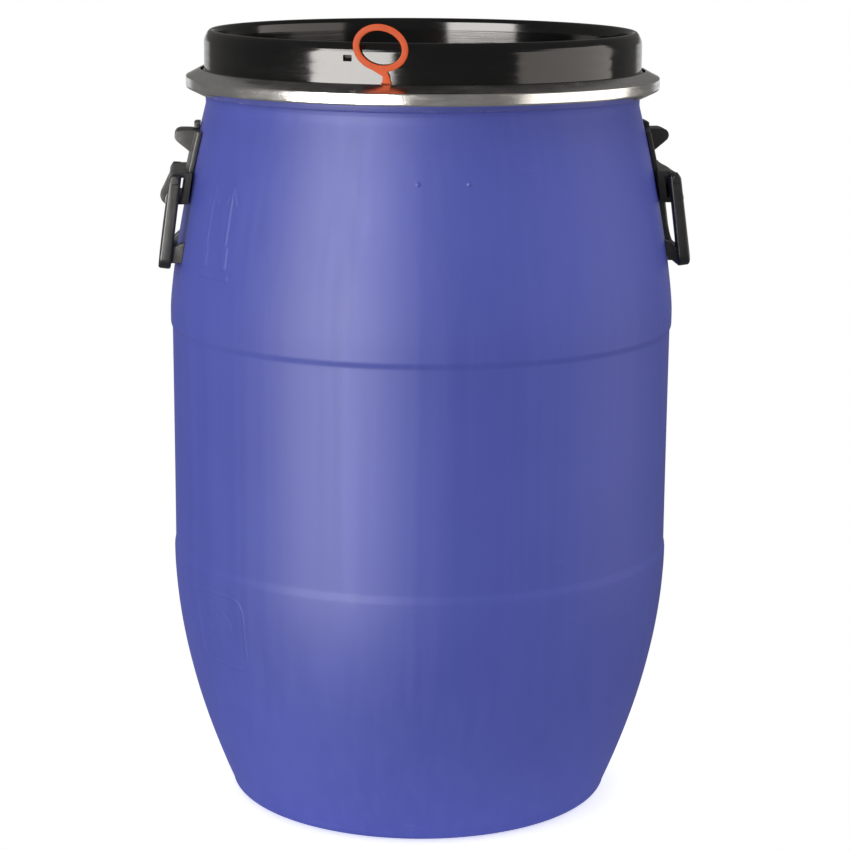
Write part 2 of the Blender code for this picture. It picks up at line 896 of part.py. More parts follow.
def sector(side, name, half_width):
    """The box that keeps one side's stretch of a turned ring."""
    block = [
        (BLOCK_INNER, BLOCK_BOTTOM),
        (BLOCK_OUTER, BLOCK_BOTTOM),
        (BLOCK_OUTER, BLOCK_TOP),
        (BLOCK_INNER, BLOCK_TOP),
    ]
    return side_plate(f"{name}_{side}", block, half_width, side)


def cross_rod(name, side, radius, half_length):
    """A round bar along Y through the bail's pivot."""
    obj = hide(rod(name, radius, half_length))
    obj.location = (side_x(side) * BAIL_PIVOT_X, 0.0, BAIL_PIVOT_Z)
    obj.rotation_euler = (math.pi / 2, 0.0, 0.0)
    return obj


def bail_outline():
    """The bail in its own plane, (y, z) from the pivot: two arms and a grip bar."""
    middle = (BAIL_OUTER_Y + BAIL_INNER_Y) / 2
    top = circle_arc((middle, 0.0), BAIL_ARM / 2, 0.0, math.pi, 9)
    inside = circle_arc(
        (BAIL_INNER_Y - BAIL_INNER_CORNER, BAIL_BAR + BAIL_INNER_CORNER - BAIL_DROP),
        BAIL_INNER_CORNER,
        0.0,
        -math.pi / 2,
        6,
    )
    outside = circle_arc(
        (BAIL_OUTER_Y - BAIL_OUTER_CORNER, BAIL_OUTER_CORNER - BAIL_DROP),
        BAIL_OUTER_CORNER,
        -math.pi / 2,
        0.0,
        6,
    )
    half = top + inside
    other_half = [(-y, z) for y, z in reversed(half)]
    other_outside = [(-y, z) for y, z in reversed(outside)]
    return half + other_half + other_outside + outside


def bracket(side):
    """Strap, guard nose above and pivot hood below, in one moulding."""
    hood = hide(turned("hood_" + side, HOOD_PROFILE, closed=True))
    boolean(hood, sector(side, "hood_sector", HOOD_HALF_WIDTH), "INTERSECT")
    made = turned("handle_bracket_" + side, strap_profile(), closed=True)
    boolean(made, sector(side, "strap_sector", STRAP_HALF_WIDTH), "INTERSECT")
    boolean(made, hood, "UNION")
    boolean(made, side_plate("nose_" + side, NOSE_OUTLINE, NOSE_HALF_WIDTH, side), "UNION")
    boolean(made, cross_rod("boss_" + side, side, BOSS_R, HOOD_HALF_WIDTH), "UNION")
    boolean(made, side_plate("slot_" + side, SLOT_OUTLINE, CUT_HALF, side), "DIFFERENCE")
    boolean(made, cross_rod("pin_bore_" + side, side, BAIL_PIN_R + GAP, CUT_HALF), "DIFFERENCE")
    return made


def clip(side):
    """The small knob between the bracket's top edge and the neck."""
    made = plate("handle_clip_" + side, [CLIP_OUTLINE], 2 * CLIP_HALF_WIDTH)
    return upright_x(made, side == "left")


def bail(side):
    """Two arms and a bar, with a rest on each arm that stands against the barrel."""
    made = plate("handle_bail_" + side, [bail_outline()], BAIL_THICK)
    made.location = (side_x(side) * BAIL_PIVOT_X, 0.0, BAIL_PIVOT_Z)
    lean = Matrix.Rotation(-BAIL_LEAN * side_x(side), 4, "Y")
    turn = Matrix.Rotation(math.pi / 2 * side_x(side), 4, "Z")
    made.rotation_euler = (lean @ turn @ Matrix.Rotation(math.pi / 2, 4, "X")).to_euler()
    edge = made.modifiers.new("edge", "BEVEL")
    edge.width = BAIL_EDGE
    edge.segments = 2
    edge.limit_method = "ANGLE"
    edge.angle_limit = math.radians(50)
    for front, end in ((-1, "front"), (1, "back")):
        name = f"rest_{side}_{end}"
        rest = side_plate(name, REST_OUTLINE, REST_HALF_WIDTH, side, front * REST_Y)
        boolean(rest, clearance, "DIFFERENCE")
        boolean(made, rest, "UNION")
    boolean(made, side_plate("arm_top_" + side, ARM_TOP_CUT, CUT_HALF, side), "DIFFERENCE")
    boolean(made, cross_rod("bail_bore_" + side, side, BAIL_PIN_R + GAP, CUT_HALF), "DIFFERENCE")
    return made


def bail_pin(side, front, end):
    """A headed pin through one arm into the hood's end face."""
    head = BAIL_OUTER_Y - HOOD_HALF_WIDTH + GAP
    made = turned(
        f"bail_pin_{side}_{end}",
        [
            (0.0, head + BAIL_HEAD),
            (BAIL_HEAD_R - BAIL_HEAD_EDGE, head + BAIL_HEAD),
            (BAIL_HEAD_R, head + BAIL_HEAD - BAIL_HEAD_EDGE),
            (BAIL_HEAD_R, head),
            (BAIL_PIN_R, head),
            (BAIL_PIN_R, -PIN_DEPTH),
            (0.0, -PIN_DEPTH),
        ],
        steps=STEEL_PIN_STEPS,
    )
    made.location = (side_x(side) * BAIL_PIVOT_X, front * HOOD_HALF_WIDTH, BAIL_PIVOT_Z)
    made.rotation_euler = (-front * math.pi / 2, 0.0, 0.0)
    return made


for side in ("left", "right"):
    place(bracket(side), SATIN_BLACK)
    place(clip(side), SATIN_BLACK)
    place(bail(side), SATIN_BLACK)
    for front, end in ((-1, "front"), (1, "back")):
        place(bail_pin(side, front, end), SATIN_BLACK)
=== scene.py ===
"""Looks of the plastic open head drum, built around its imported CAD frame.

The drum stands on z = 0 with its axis on +Z. Angles in plan are measured from -Y, the
front, towards +X, unless a name says "rear": those are measured from +Y towards +X.
Sizes are in metres.
"""

import math

import bmesh
import bpy
import numpy as np
from mathutils import Matrix, Vector


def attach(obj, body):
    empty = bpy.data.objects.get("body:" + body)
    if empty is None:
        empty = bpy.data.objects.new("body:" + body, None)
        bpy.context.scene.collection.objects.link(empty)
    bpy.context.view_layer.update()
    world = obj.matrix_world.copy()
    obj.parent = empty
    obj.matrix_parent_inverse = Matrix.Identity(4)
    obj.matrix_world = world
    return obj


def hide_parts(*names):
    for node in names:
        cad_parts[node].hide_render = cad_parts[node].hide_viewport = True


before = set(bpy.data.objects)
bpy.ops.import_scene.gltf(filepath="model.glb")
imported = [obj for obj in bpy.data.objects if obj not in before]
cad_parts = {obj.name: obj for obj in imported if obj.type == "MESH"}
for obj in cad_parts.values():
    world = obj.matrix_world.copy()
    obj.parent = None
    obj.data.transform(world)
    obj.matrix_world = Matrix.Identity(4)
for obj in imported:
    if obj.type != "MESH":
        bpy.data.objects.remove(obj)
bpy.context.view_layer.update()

# ---- camera
CAMERA_DISTANCE = 2.0492
CAMERA_HEIGHT = 0.7418
CAMERA_PITCH = 0.2115
CAMERA_AZIMUTH = math.radians(-5.0)
CAMERA_ROLL = math.radians(0.38)
CAMERA_LENS = 108.59
CAMERA_SHIFT = 4.5 / 850.0
CAMERA_REACH = 50.0
SENSOR_WIDTH = 36.0

camera = bpy.data.objects.new("camera", bpy.data.cameras.new("camera"))
bpy.context.scene.collection.objects.link(camera)
camera.data.sensor_width = SENSOR_WIDTH
camera.data.lens = CAMERA_LENS
camera.data.shift_x = CAMERA_SHIFT
camera.data.clip_end = CAMERA_REACH
camera.location = (
    CAMERA_DISTANCE * math.sin(CAMERA_AZIMUTH),
    -CAMERA_DISTANCE * math.cos(CAMERA_AZIMUTH),
    CAMERA_HEIGHT,
)
camera.rotation_euler = (
    Matrix.Rotation(CAMERA_AZIMUTH, 3, "Z")
    @ Matrix.Rotation(math.pi / 2 - CAMERA_PITCH, 3, "X")
    @ Matrix.Rotation(CAMERA_ROLL, 3, "Z")
).to_euler()
bpy.context.scene.camera = camera
bpy.context.scene.view_settings.view_transform = "Standard"

# ---- sizes, as in the CAD
WALL = 0.003
LOWER_R = 0.2010
FOOT_R = 0.1510
FOOT_CORNER = 0.009
FOOT_FLAT_OUTER = 0.142
FOOT_FLAT_INNER = 0.120
LOWER_POWER = 1.86
LOW_STEP_Z = 0.2060
LOW_STEP_HEIGHT = 0.0080
BAND_R = 0.2000
BAND_TOP_R = 0.2004
HIGH_STEP_Z = 0.3850
HIGH_STEP_HEIGHT = 0.0065
SHOULDER_R = 0.2018
SHOULDER_Z = 0.4020
SHOULDER_POWER = 1.37
NECK_R = 0.1721
NECK_Z = 0.5640
MOUTH_R = 0.1686
RIM_R = 0.1838
RIM_TOP_Z = 0.5833
RIM_SHELF_Z = 0.5814

LID_WALL_R = 0.1730
CREST_Z = 0.6220
PANEL_Z = 0.5935
PANEL_R = 0.1585
PANEL_THICK = 0.0032
PANEL_RISE = 0.0014
PLUG_R = 0.1672
PLUG_BOTTOM_Z = 0.5762
GROOVE_TOP_Z = 0.5860
FLANGE_EDGE_Z = 0.5853
FLANGE_SLOPE = 0.53
GAP = 0.0003

RING_R = 0.1876
RING_MID_Z = 0.5825
RING_SPLIT_FROM = math.radians(-4.2)
RING_SPLIT_TO = math.radians(-1.2)
LEVER_PIN_R = 0.1930
LEVER_PIN_ANGLE = math.radians(3.0)
BOW_PIN_R = 0.1908
BOW_PIN_ANGLE = math.radians(9.5)
BOW_HOOK_R = 0.1905
BOW_HOOK_ANGLE = math.radians(-11.7)
BOW_WIRE = 0.0014
BOW_HALF_HEIGHT = 0.0113
LEVER_HALF_HEIGHT = 0.0083
LEVER_SHEET = 0.0012
LEVER_EAR_R = 0.0050
LEVER_OUTER_R = 0.1982
LEVER_INNER_R = 0.1889
LEVER_END = math.radians(38.0)
LEVER_TAIL = math.radians(42.5)
LEVER_FLARE = 0.0065
PIN_R = 0.0020
LUG_HALF_HEIGHT = 0.0068

HOOD_HALF_WIDTH = 0.0390
STRAP_HALF_WIDTH = 0.0300
NOSE_HALF_WIDTH = 0.0130
CLIP_HALF_WIDTH = 0.0100
STRAP_THICK = 0.0045
STRAP_TOP_Z = 0.5440
HOOD_TOP_Z = 0.5133
HOOD_BOTTOM_Z = 0.4885
BARREL_CLEARANCE = 0.0004
BOSS_R = 0.0042
BAIL_PIVOT_X = 0.1968
BAIL_PIVOT_Z = 0.5085
BAIL_ARM_GAP = 0.0004
BAIL_ARM = 0.0100
BAIL_THICK = 0.0098
BAIL_BAR = 0.0110
BAIL_DROP = 0.0706
BAIL_LEAN = math.radians(7.5)
BAIL_INNER_CORNER = 0.014
BAIL_OUTER_CORNER = 0.010
BAIL_PIN_R = 0.0020
BAIL_INNER_Y = HOOD_HALF_WIDTH + BAIL_ARM_GAP
BAIL_OUTER_Y = BAIL_INNER_Y + BAIL_ARM

SEAL_ANGLE = math.radians(-13.8)
SEAL_R = 0.1744
SEAL_THICK = 0.0019
SEAL_BASE_Z = 0.5917
SEAL_CENTRE = (-0.0042, 0.0267)
SEAL_OUTER = (0.0206, 0.0170)
SEAL_BAND = 0.0047
SEAL_TILT = math.radians(-14.0)
SEAL_STEPS = 72


# ---- world, floor and lights
WHITE = (1.0, 1.0, 1.0, 1.0)
WARM_WHITE = (1.0, 0.97, 0.94, 1.0)
SOFT_LEVEL = 0.64
MIRRORED_LEVEL = 0.17
WALL_LEVEL = 0.8
WALL_SIDES = (math.cos(math.radians(33.0)), math.cos(math.radians(27.0)))
WALL_FOOT = (math.sin(math.radians(-9.0)), math.sin(math.radians(-5.0)))
WALL_HEAD = (math.sin(math.radians(4.0)), math.sin(math.radians(-1.0)))


def node(tree, kind, inputs=None, **settings):
    """A new shader node. Its inputs, by name or number, are sockets to link or values."""
    made = tree.nodes.new(kind)
    for name, value in settings.items():
        setattr(made, name, value)
    for name, value in (inputs or {}).items():
        if isinstance(value, bpy.types.NodeSocket):
            tree.links.new(value, made.inputs[name])
        else:
            made.inputs[name].default_value = value
    return made


def faded(tree, value, start, end):
    """A smooth step from 0 at start to 1 at end."""
    inputs = {"Value": value, "From Min": start, "From Max": end}
    made = node(tree, "ShaderNodeMapRange", inputs, interpolation_type="SMOOTHSTEP")
    return made.outputs["Result"]


def mixed(tree, factor, off, on):
    return node(tree, "ShaderNodeMixShader", {0: factor, 1: off, 2: on}).outputs[0]


def make_world():
    """White behind the object, dim in reflections but for a pale wall behind the drum."""
    world = bpy.data.worlds.new("studio")
    bpy.context.scene.world = world
    world.use_nodes = True
    tree = world.node_tree
    tree.nodes.clear()

    def background(level, colour=WHITE):
        return node(tree, "ShaderNodeBackground", {"Color": colour, "Strength": level}).outputs[0]

    def product(first, second):
        return node(tree, "ShaderNodeMath", {0: first, 1: second}, operation="MULTIPLY").outputs[0]

    direction = node(tree, "ShaderNodeTexCoord").outputs["Generated"]
    forward = (-math.sin(CAMERA_AZIMUTH), math.cos(CAMERA_AZIMUTH), 0.0)
    ahead = node(tree, "ShaderNodeVectorMath", {0: direction, 1: forward}, operation="DOT_PRODUCT")
    height = node(tree, "ShaderNodeSeparateXYZ", {0: direction}).outputs["Z"]
    upright_part = product(faded(tree, height, *WALL_FOOT), faded(tree, height, *WALL_HEAD))
    wall = product(faded(tree, ahead.outputs["Value"], *WALL_SIDES), upright_part)
    path = node(tree, "ShaderNodeLightPath").outputs
    mirrored = mixed(tree, wall, background(MIRRORED_LEVEL, WARM_WHITE), background(WALL_LEVEL))
    unseen = mixed(tree, path["Is Glossy Ray"], background(SOFT_LEVEL), mirrored)
    seen = mixed(tree, path["Is Camera Ray"], unseen, background(1.0))
    node(tree, "ShaderNodeOutputWorld", {"Surface": seen})


def area_lamp(name, energy, width, height=None):
    lamp = bpy.data.lights.new(name, "AREA")
    lamp.shape = "RECTANGLE" if height else "SQUARE"
    lamp.size = width
    lamp.size_y = height or width
    lamp.energy = energy
    holder = bpy.data.objects.new(name, lamp)
    bpy.context.scene.collection.objects.link(holder)
    holder.visible_camera = False
    return holder


def softbox(name, azimuth, distance, width, low, high, radiance, colour, mirrored):
    """An upright lamp that faces the drum's axis. Azimuth is seen from the camera.

    A mirrored one shows in reflections only, any other lights the surfaces only.
    """
    holder = area_lamp(name, radiance * math.pi * width * (high - low), width, high - low)
    holder.data.color = colour
    angle = math.radians(azimuth) + CAMERA_AZIMUTH
    holder.location = (distance * math.sin(angle), -distance * math.cos(angle), (low + high) / 2)
    holder.rotation_euler = (math.pi / 2, 0.0, angle)
    holder.visible_glossy = mirrored
    holder.visible_diffuse = not mirrored


WINDOW_LIGHT = (1.0, 0.97, 0.93)
LATE_LIGHT = (1.0, 0.93, 0.86)
SOFT_LIGHT = (1.0, 0.98, 0.96)
# name, azimuth, distance, width, low edge, high edge, radiance, colour, mirrored
SOFTBOXES = (
    ("key_window", -36.0, 2.2, 1.70, -0.55, 1.9, 15.0, WINDOW_LIGHT, True),
    ("right_window", 80.0, 2.2, 2.7, -0.6, 1.7, 1.9, LATE_LIGHT, True),
    ("key_soft", -50.0, 2.4, 1.6, 0.0, 2.2, 1.35, SOFT_LIGHT, False),
    ("right_soft", 40.0, 2.4, 1.6, 0.0, 2.2, 0.2, SOFT_LIGHT, False),
    ("low_left", -62.0, 1.3, 1.3, -0.6, 0.1, 1.1, SOFT_LIGHT, False),
)
TOP_LIGHT_SIZE = 2.4
TOP_LIGHT_ENERGY = 36.0
TOP_LIGHT_Z = 2.6


def make_lights():
    for box in SOFTBOXES:
        softbox(*box)
    top = area_lamp("top_soft", TOP_LIGHT_ENERGY, TOP_LIGHT_SIZE)
    top.location = (0.0, 0.0, TOP_LIGHT_Z)
    top.visible_glossy = False


FLOOR_R = 0.36
FLOOR_SOLID_R = 0.14
FLOOR_CLEAR_R = 0.33
FLOOR_LIFT = 0.62
FLOOR_TONE = (0.80, 0.80, 0.80, 1.0)
FLOOR_Z = -0.0003


def make_floor():
    """A pale round floor that thins out to nothing away from the drum."""
    mesh = bpy.data.meshes.new("floor")
    build = bmesh.new()
    bmesh.ops.create_circle(build, cap_ends=True, segments=96, radius=FLOOR_R)
    build.to_mesh(mesh)
    build.free()
    floor = bpy.data.objects.new("floor", mesh)
    bpy.context.scene.collection.objects.link(floor)
    floor.location = (0.0, 0.0, FLOOR_Z)
    paint = bpy.data.materials.new("pale_floor")
    paint.use_nodes = True
    tree = paint.node_tree
    tree.nodes.clear()
    where = node(tree, "ShaderNodeTexCoord").outputs["Object"]
    away = node(tree, "ShaderNodeVectorMath", {0: where}, operation="LENGTH").outputs["Value"]
    solid = node(tree, "ShaderNodeBsdfDiffuse", {"Color": FLOOR_TONE}).outputs[0]
    lift = node(tree, "ShaderNodeEmission", {"Strength": FLOOR_LIFT}).outputs[0]
    pale = node(tree, "ShaderNodeAddShader", {0: solid, 1: lift}).outputs[0]
    clear = node(tree, "ShaderNodeBsdfTransparent").outputs[0]
    thin = mixed(tree, faded(tree, away, FLOOR_SOLID_R, FLOOR_CLEAR_R), pale, clear)
    node(tree, "ShaderNodeOutputMaterial", {"Surface": thin})
    mesh.materials.append(paint)
    floor.visible_glossy = False


make_world()
make_lights()
make_floor()


# ---- materials
class Finish:
    """A small builder for one Principled material."""

    def __init__(self, name, roughness, metallic=0.0):
        self.material = bpy.data.materials.new(name)
        self.material.use_nodes = True
        self.tree = self.material.node_tree
        self.shader = self.tree.nodes["Principled BSDF"]
        self.shader.inputs["Roughness"].default_value = roughness
        self.shader.inputs["Metallic"].default_value = metallic
        self.where = node(self.tree, "ShaderNodeTexCoord").outputs["Object"]

    def stretched(self, stretch):
        inputs = {"Vector": self.where, "Scale": stretch}
        return node(self.tree, "ShaderNodeMapping", inputs).outputs[0]

    def noise(self, scale, stretch=(1.0, 1.0, 1.0), detail=3.0, gain=0.5):
        inputs = {"Scale": scale, "Detail": detail, "Roughness": gain}
        inputs["Vector"] = self.stretched(stretch)
        return node(self.tree, "ShaderNodeTexNoise", inputs).outputs["Fac"]

    def cells(self, scale):
        inputs = {"Scale": scale, "Vector": self.where}
        return node(self.tree, "ShaderNodeTexVoronoi", inputs).outputs["Color"]

    def remap(self, source, low, high, to_low=0.0, to_high=1.0):
        inputs = {"From Min": low, "From Max": high, "To Min": to_low, "To Max": to_high}
        return node(self.tree, "ShaderNodeMapRange", {"Value": source, **inputs}).outputs["Result"]

    def total(self, first, second):
        return node(self.tree, "ShaderNodeMath", {0: first, 1: second}, operation="ADD").outputs[0]

    def blend(self, factor, first, second):
        """A colour between two colours, each a tuple or a socket."""
        first, second = ((*c, 1.0) if isinstance(c, tuple) else c for c in (first, second))
        inputs = {"Factor": factor, 6: first, 7: second}
        return node(self.tree, "ShaderNodeMix", inputs, data_type="RGBA").outputs[2]

    def bump(self, source, strength, distance, below=None):
        inputs = {"Strength": strength, "Distance": distance, "Height": source}
        if below is not None:
            inputs["Normal"] = below
        return node(self.tree, "ShaderNodeBump", inputs).outputs[0]

    def finish(self, colour, roughness, normal):
        for name, source in (("Base Color", colour), ("Roughness", roughness), ("Normal", normal)):
            self.tree.links.new(source, self.shader.inputs[name])
        return self.material


def blue_polyethylene():
    """Satin blow-moulded wall: slow tone drift, upright flow lines, fine grain, light scuffs."""
    f = Finish("blue_polyethylene", 0.48)
    f.shader.inputs["Specular IOR Level"].default_value = 0.22
    drift = f.noise(7.0, detail=2.0)
    flow = f.noise(1.0, (120.0, 120.0, 2.0), detail=3.0)
    grain = f.noise(1500.0, detail=2.0)
    peel = f.noise(150.0, detail=2.0)
    scuff = f.noise(1.0, (26.0, 26.0, 240.0), detail=6.0, gain=0.65)
    base = f.blend(f.remap(drift, 0.35, 0.65), (0.062, 0.080, 0.385), (0.070, 0.089, 0.415))
    base = f.blend(f.remap(flow, 0.4, 0.7, 0.0, 0.35), base, (0.082, 0.102, 0.435))
    base = f.blend(f.remap(scuff, 0.66, 0.80, 0.0, 0.35), base, (0.14, 0.16, 0.50))
    rough = f.total(f.remap(flow, 0.3, 0.7, 0.45, 0.51), f.remap(scuff, 0.62, 0.8, 0.0, 0.12))
    normal = f.bump(grain, 0.16, 0.0002)
    normal = f.bump(peel, 0.10, 0.0006, normal)
    normal = f.bump(flow, 0.05, 0.0008, normal)
    return f.finish(base, rough, normal)


def gloss_black():
    """High-gloss lid: fine marks round the wall, soft waves and a few rubbed patches."""
    f = Finish("gloss_black_plastic", 0.1)
    round_lines = f.noise(1.0, (5.0, 5.0, 900.0), detail=4.0, gain=0.6)
    waves = f.noise(24.0, detail=2.0)
    rub = f.noise(16.0, (1.0, 1.0, 3.0), detail=5.0, gain=0.7)
    base = f.blend(f.remap(rub, 0.5, 0.8), (0.0034, 0.0033, 0.0034), (0.0075, 0.0071, 0.0070))
    line_rough = f.remap(round_lines, 0.45, 0.75, 0.0, 0.06)
    rough = f.total(f.remap(rub, 0.4, 0.8, 0.085, 0.17), line_rough)
    normal = f.bump(round_lines, 0.10, 0.0003)
    normal = f.bump(waves, 0.05, 0.002, normal)
    return f.finish(base, rough, normal)


def satin_black(name, seed):
    """Moulded handle plastic with a fine spark-eroded grain and worn, greyer high spots."""
    f = Finish(name, 0.36)
    tone = f.noise(34.0 + seed, detail=4.0)
    grain = f.noise(1900.0, detail=2.0)
    wear = f.noise(90.0 + seed, (1.0, 1.0, 0.6), detail=6.0, gain=0.7)
    base = f.blend(f.remap(tone, 0.35, 0.7), (0.012, 0.012, 0.013), (0.024, 0.023, 0.023))
    base = f.blend(f.remap(wear, 0.60, 0.75, 0.0, 0.6), base, (0.055, 0.053, 0.050))
    rough = f.remap(wear, 0.35, 0.75, 0.30, 0.46)
    normal = f.bump(grain, 0.30, 0.0002)
    normal = f.bump(tone, 0.10, 0.0006, normal)
    return f.finish(base, rough, normal)


def foam_black():
    """Closed-cell foam rubber."""
    f = Finish("foam_rubber", 0.8)
    cell = f.noise(1400.0, detail=2.0)
    tone = f.noise(60.0, detail=3.0)
    base = f.blend(f.remap(tone, 0.3, 0.7), (0.014, 0.014, 0.014), (0.030, 0.030, 0.029))
    return f.finish(base, f.remap(cell, 0.3, 0.7, 0.70, 0.92), f.bump(cell, 0.6, 0.0004))


def galvanised(name, tone, stretch=(4.0, 4.0, 700.0)):
    """Bright zinc: drawn lines along the strip, a faint spangle and small dull spots."""
    f = Finish(name, 0.2, 1.0)
    drawn = f.noise(1.0, stretch, detail=4.0, gain=0.6)
    patches = f.noise(1.0, (40.0, 40.0, 160.0), detail=5.0, gain=0.6)
    spangle = f.cells(260.0)
    specks = f.noise(700.0, detail=2.0)
    light = tuple(tone * c for c in (0.90, 0.89, 0.87))
    dull = tuple(tone * c for c in (0.66, 0.655, 0.65))
    base = f.blend(f.remap(drawn, 0.35, 0.7, 0.0, 0.55), light, dull)
    base = f.blend(f.remap(spangle, 0.2, 0.9, 0.0, 0.12), base, dull)
    base = f.blend(f.remap(specks, 0.70, 0.76, 0.0, 0.5), base, (0.30, 0.29, 0.28))
    rough = f.total(f.remap(patches, 0.3, 0.75, 0.13, 0.27), f.remap(drawn, 0.4, 0.7, 0.0, 0.06))
    normal = f.bump(drawn, 0.14, 0.0002)
    normal = f.bump(patches, 0.05, 0.0008, normal)
    return f.finish(base, rough, normal)


def seal_orange():
    """Soft orange-red moulding, slightly translucent, with flow marks."""
    f = Finish("orange_moulding", 0.42)
    f.shader.inputs["Specular IOR Level"].default_value = 0.08
    f.shader.inputs["Subsurface Weight"].default_value = 0.12
    f.shader.inputs["Subsurface Radius"].default_value = (0.004, 0.0015, 0.0008)
    f.shader.inputs["Subsurface Scale"].default_value = 1.0
    flow = f.noise(120.0, detail=4.0)
    grain = f.noise(1500.0, detail=2.0)
    base = f.blend(f.remap(flow, 0.3, 0.7), (0.60, 0.080, 0.012), (0.66, 0.092, 0.017))
    return f.finish(base, f.remap(flow, 0.3, 0.7, 0.36, 0.5), f.bump(grain, 0.18, 0.0002))


BLUE = blue_polyethylene()
LID_BLACK = gloss_black()
FOAM = foam_black()
ZINC_RING = galvanised("bright_zinc_ring", 0.86)
ZINC_LEVER = galvanised("bright_zinc_lever", 0.90, (60.0, 60.0, 500.0))
ZINC_WIRE = galvanised("zinc_wire", 0.82, (300.0, 300.0, 60.0))
ZINC_LUG = galvanised("zinc_lug", 0.70, (80.0, 80.0, 300.0))
PIN_STEEL = galvanised("pin_steel", 0.62, (90.0, 90.0, 90.0))
ORANGE = seal_orange()


# ---- mesh tools
WELD = 0.00001
AXIS_R = 1e-7
CORNER_SHARE = 0.45
FINE_EDGE = 0.0005
MOULDED_EDGE = 0.0008
STRAP_EDGE = 0.0006
SMALL_LATHE = 40


def finished(name, mesh, paint, body, nodes, crease=40.0):
    """Links a mesh as a piece with its material and body, and hides the CAD nodes it stands in
    for.
    """
    mesh.name = name
    mesh.materials.clear()
    mesh.materials.append(paint)
    mesh.shade_smooth()
    mesh.set_sharp_from_angle(angle=math.radians(crease))
    piece = bpy.data.objects.new(name, mesh)
    bpy.context.scene.collection.objects.link(piece)
    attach(piece, body)
    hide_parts(*nodes)
    return piece


def soften(points, radius, steps=4, closed=False):
    """A polyline with its corners rounded. A point may carry its own radius as a third number."""
    count = len(points)
    out = []
    for index, point in enumerate(points):
        corner = np.array(point[:2])
        here = point[2] if len(point) > 2 else radius
        if not closed and index in (0, count - 1) or here <= 0:
            out.append(tuple(corner))
            continue
        before = np.array(points[index - 1][:2]) - corner
        after = np.array(points[(index + 1) % count][:2]) - corner
        lengths = np.linalg.norm(before), np.linalg.norm(after)
        cos = np.clip(before @ after / (lengths[0] * lengths[1]), -1.0, 1.0)
        half = math.acos(cos) / 2
        cut = min(here / max(math.tan(half), 1e-6), CORNER_SHARE * min(lengths))
        first = corner + before / lengths[0] * cut
        last = corner + after / lengths[1] * cut
        for step in range(steps + 1):
            part = step / steps
            where = (1 - part) ** 2 * first + 2 * part * (1 - part) * corner + part**2 * last
            out.append(tuple(where))
    return out


def thinned(points, least=2 * WELD):
    """The same polyline without points that fall on each other."""
    out = [points[0]]
    for point in points[1:]:
        if math.dist(point, out[-1]) > least:
            out.append(point)
    return out


def turned_mesh(radii, heights, angles, closed_profile=False, closed_turn=True):
    """Quads over a grid of profile rows and turning columns. Rows at radius 0 become a point."""
    rows, columns = radii.shape
    sine, cosine = np.sin(angles), np.cos(angles)
    points = []
    index = np.zeros((rows, columns), int)
    for row in range(rows):
        if np.all(radii[row] < AXIS_R):
            index[row] = len(points)
            points.append((0.0, 0.0, float(heights[row, 0])))
            continue
        start = len(points)
        index[row] = np.arange(start, start + columns)
        across, toward = radii[row] * sine, -radii[row] * cosine
        points += list(zip(across.tolist(), toward.tolist(), heights[row].tolist()))
    faces = []
    last_row = rows if closed_profile else rows - 1
    last_column = columns if closed_turn else columns - 1
    for row in range(last_row):
        upper, lower = index[row], index[(row + 1) % rows]
        for column in range(last_column):
            side = (column + 1) % columns
            corners = [upper[column], upper[side], lower[side], lower[column]]
            face = [int(c) for n, c in enumerate(corners) if c != corners[n - 1]]
            if len(face) > 2:
                faces.append(face)
    if closed_profile and not closed_turn:
        faces.append([int(i) for i in index[:, 0]])
        faces.append([int(i) for i in index[::-1, -1]])
    mesh = bpy.data.meshes.new("turned")
    mesh.from_pydata(points, [], faces)
    outward(mesh)
    return mesh


def outward(mesh, weld=0.0):
    """Turns a mesh's faces outward, after joining points closer than the weld distance."""
    build = bmesh.new()
    build.from_mesh(mesh)
    if weld > 0.0:
        bmesh.ops.remove_doubles(build, verts=build.verts, dist=weld)
    bmesh.ops.recalc_face_normals(build, faces=build.faces)
    build.to_mesh(mesh)
    build.free()


def grid(profile, columns):
    """The radii and the heights of a profile, repeated for each turning column."""
    radii, heights = np.array(profile, float).T
    repeat = (len(profile), columns)
    return (
        np.broadcast_to(radii[:, None], repeat).copy(),
        np.broadcast_to(heights[:, None], repeat).copy(),
    )


def lathe(profile, segments=256, closed=False):
    """A plain profile turned once round the axis."""
    profile = thinned(profile)
    angles = np.arange(segments) * (2 * math.pi / segments)
    return turned_mesh(*grid(profile, segments), angles, closed_profile=closed)


def from_curve(curve):
    """A closed curve shape as a welded mesh."""
    holder = bpy.data.objects.new("shape", curve)
    bpy.context.scene.collection.objects.link(holder)
    bpy.context.view_layer.update()
    shape = holder.evaluated_get(bpy.context.evaluated_depsgraph_get())
    mesh = bpy.data.meshes.new_from_object(shape)
    bpy.data.objects.remove(holder)
    bpy.data.curves.remove(curve)
    outward(mesh, WELD)
    return mesh


def plate(outlines, thickness, edge=0.0, fineness=2):
    """Flat outlines in local XY made solid, with edges rounded by that radius."""
    curve = bpy.data.curves.new("plate", "CURVE")
    curve.dimensions = "2D"
    curve.fill_mode = "BOTH"
    curve.extrude = thickness / 2 - edge
    curve.bevel_depth = edge
    curve.bevel_resolution = fineness
    curve.offset = -edge
    for outline in outlines:
        outline = thinned([tuple(p[:2]) for p in outline])
        spline = curve.splines.new("POLY")
        spline.points.add(len(outline) - 1)
        for point, (across, up) in zip(spline.points, outline):
            point.co = (across, up, 0.0, 1.0)
        spline.use_cyclic_u = True
    return from_curve(curve)


def tube(path, radius, cyclic=True, fineness=4):
    curve = bpy.data.curves.new("tube", "CURVE")
    curve.dimensions = "3D"
    curve.bevel_depth = radius
    curve.bevel_resolution = fineness
    curve.use_fill_caps = True
    spline = curve.splines.new("POLY")
    spline.points.add(len(path) - 1)
    for point, where in zip(spline.points, path):
        point.co = (*where, 1.0)
    spline.use_cyclic_u = cyclic
    return from_curve(curve)


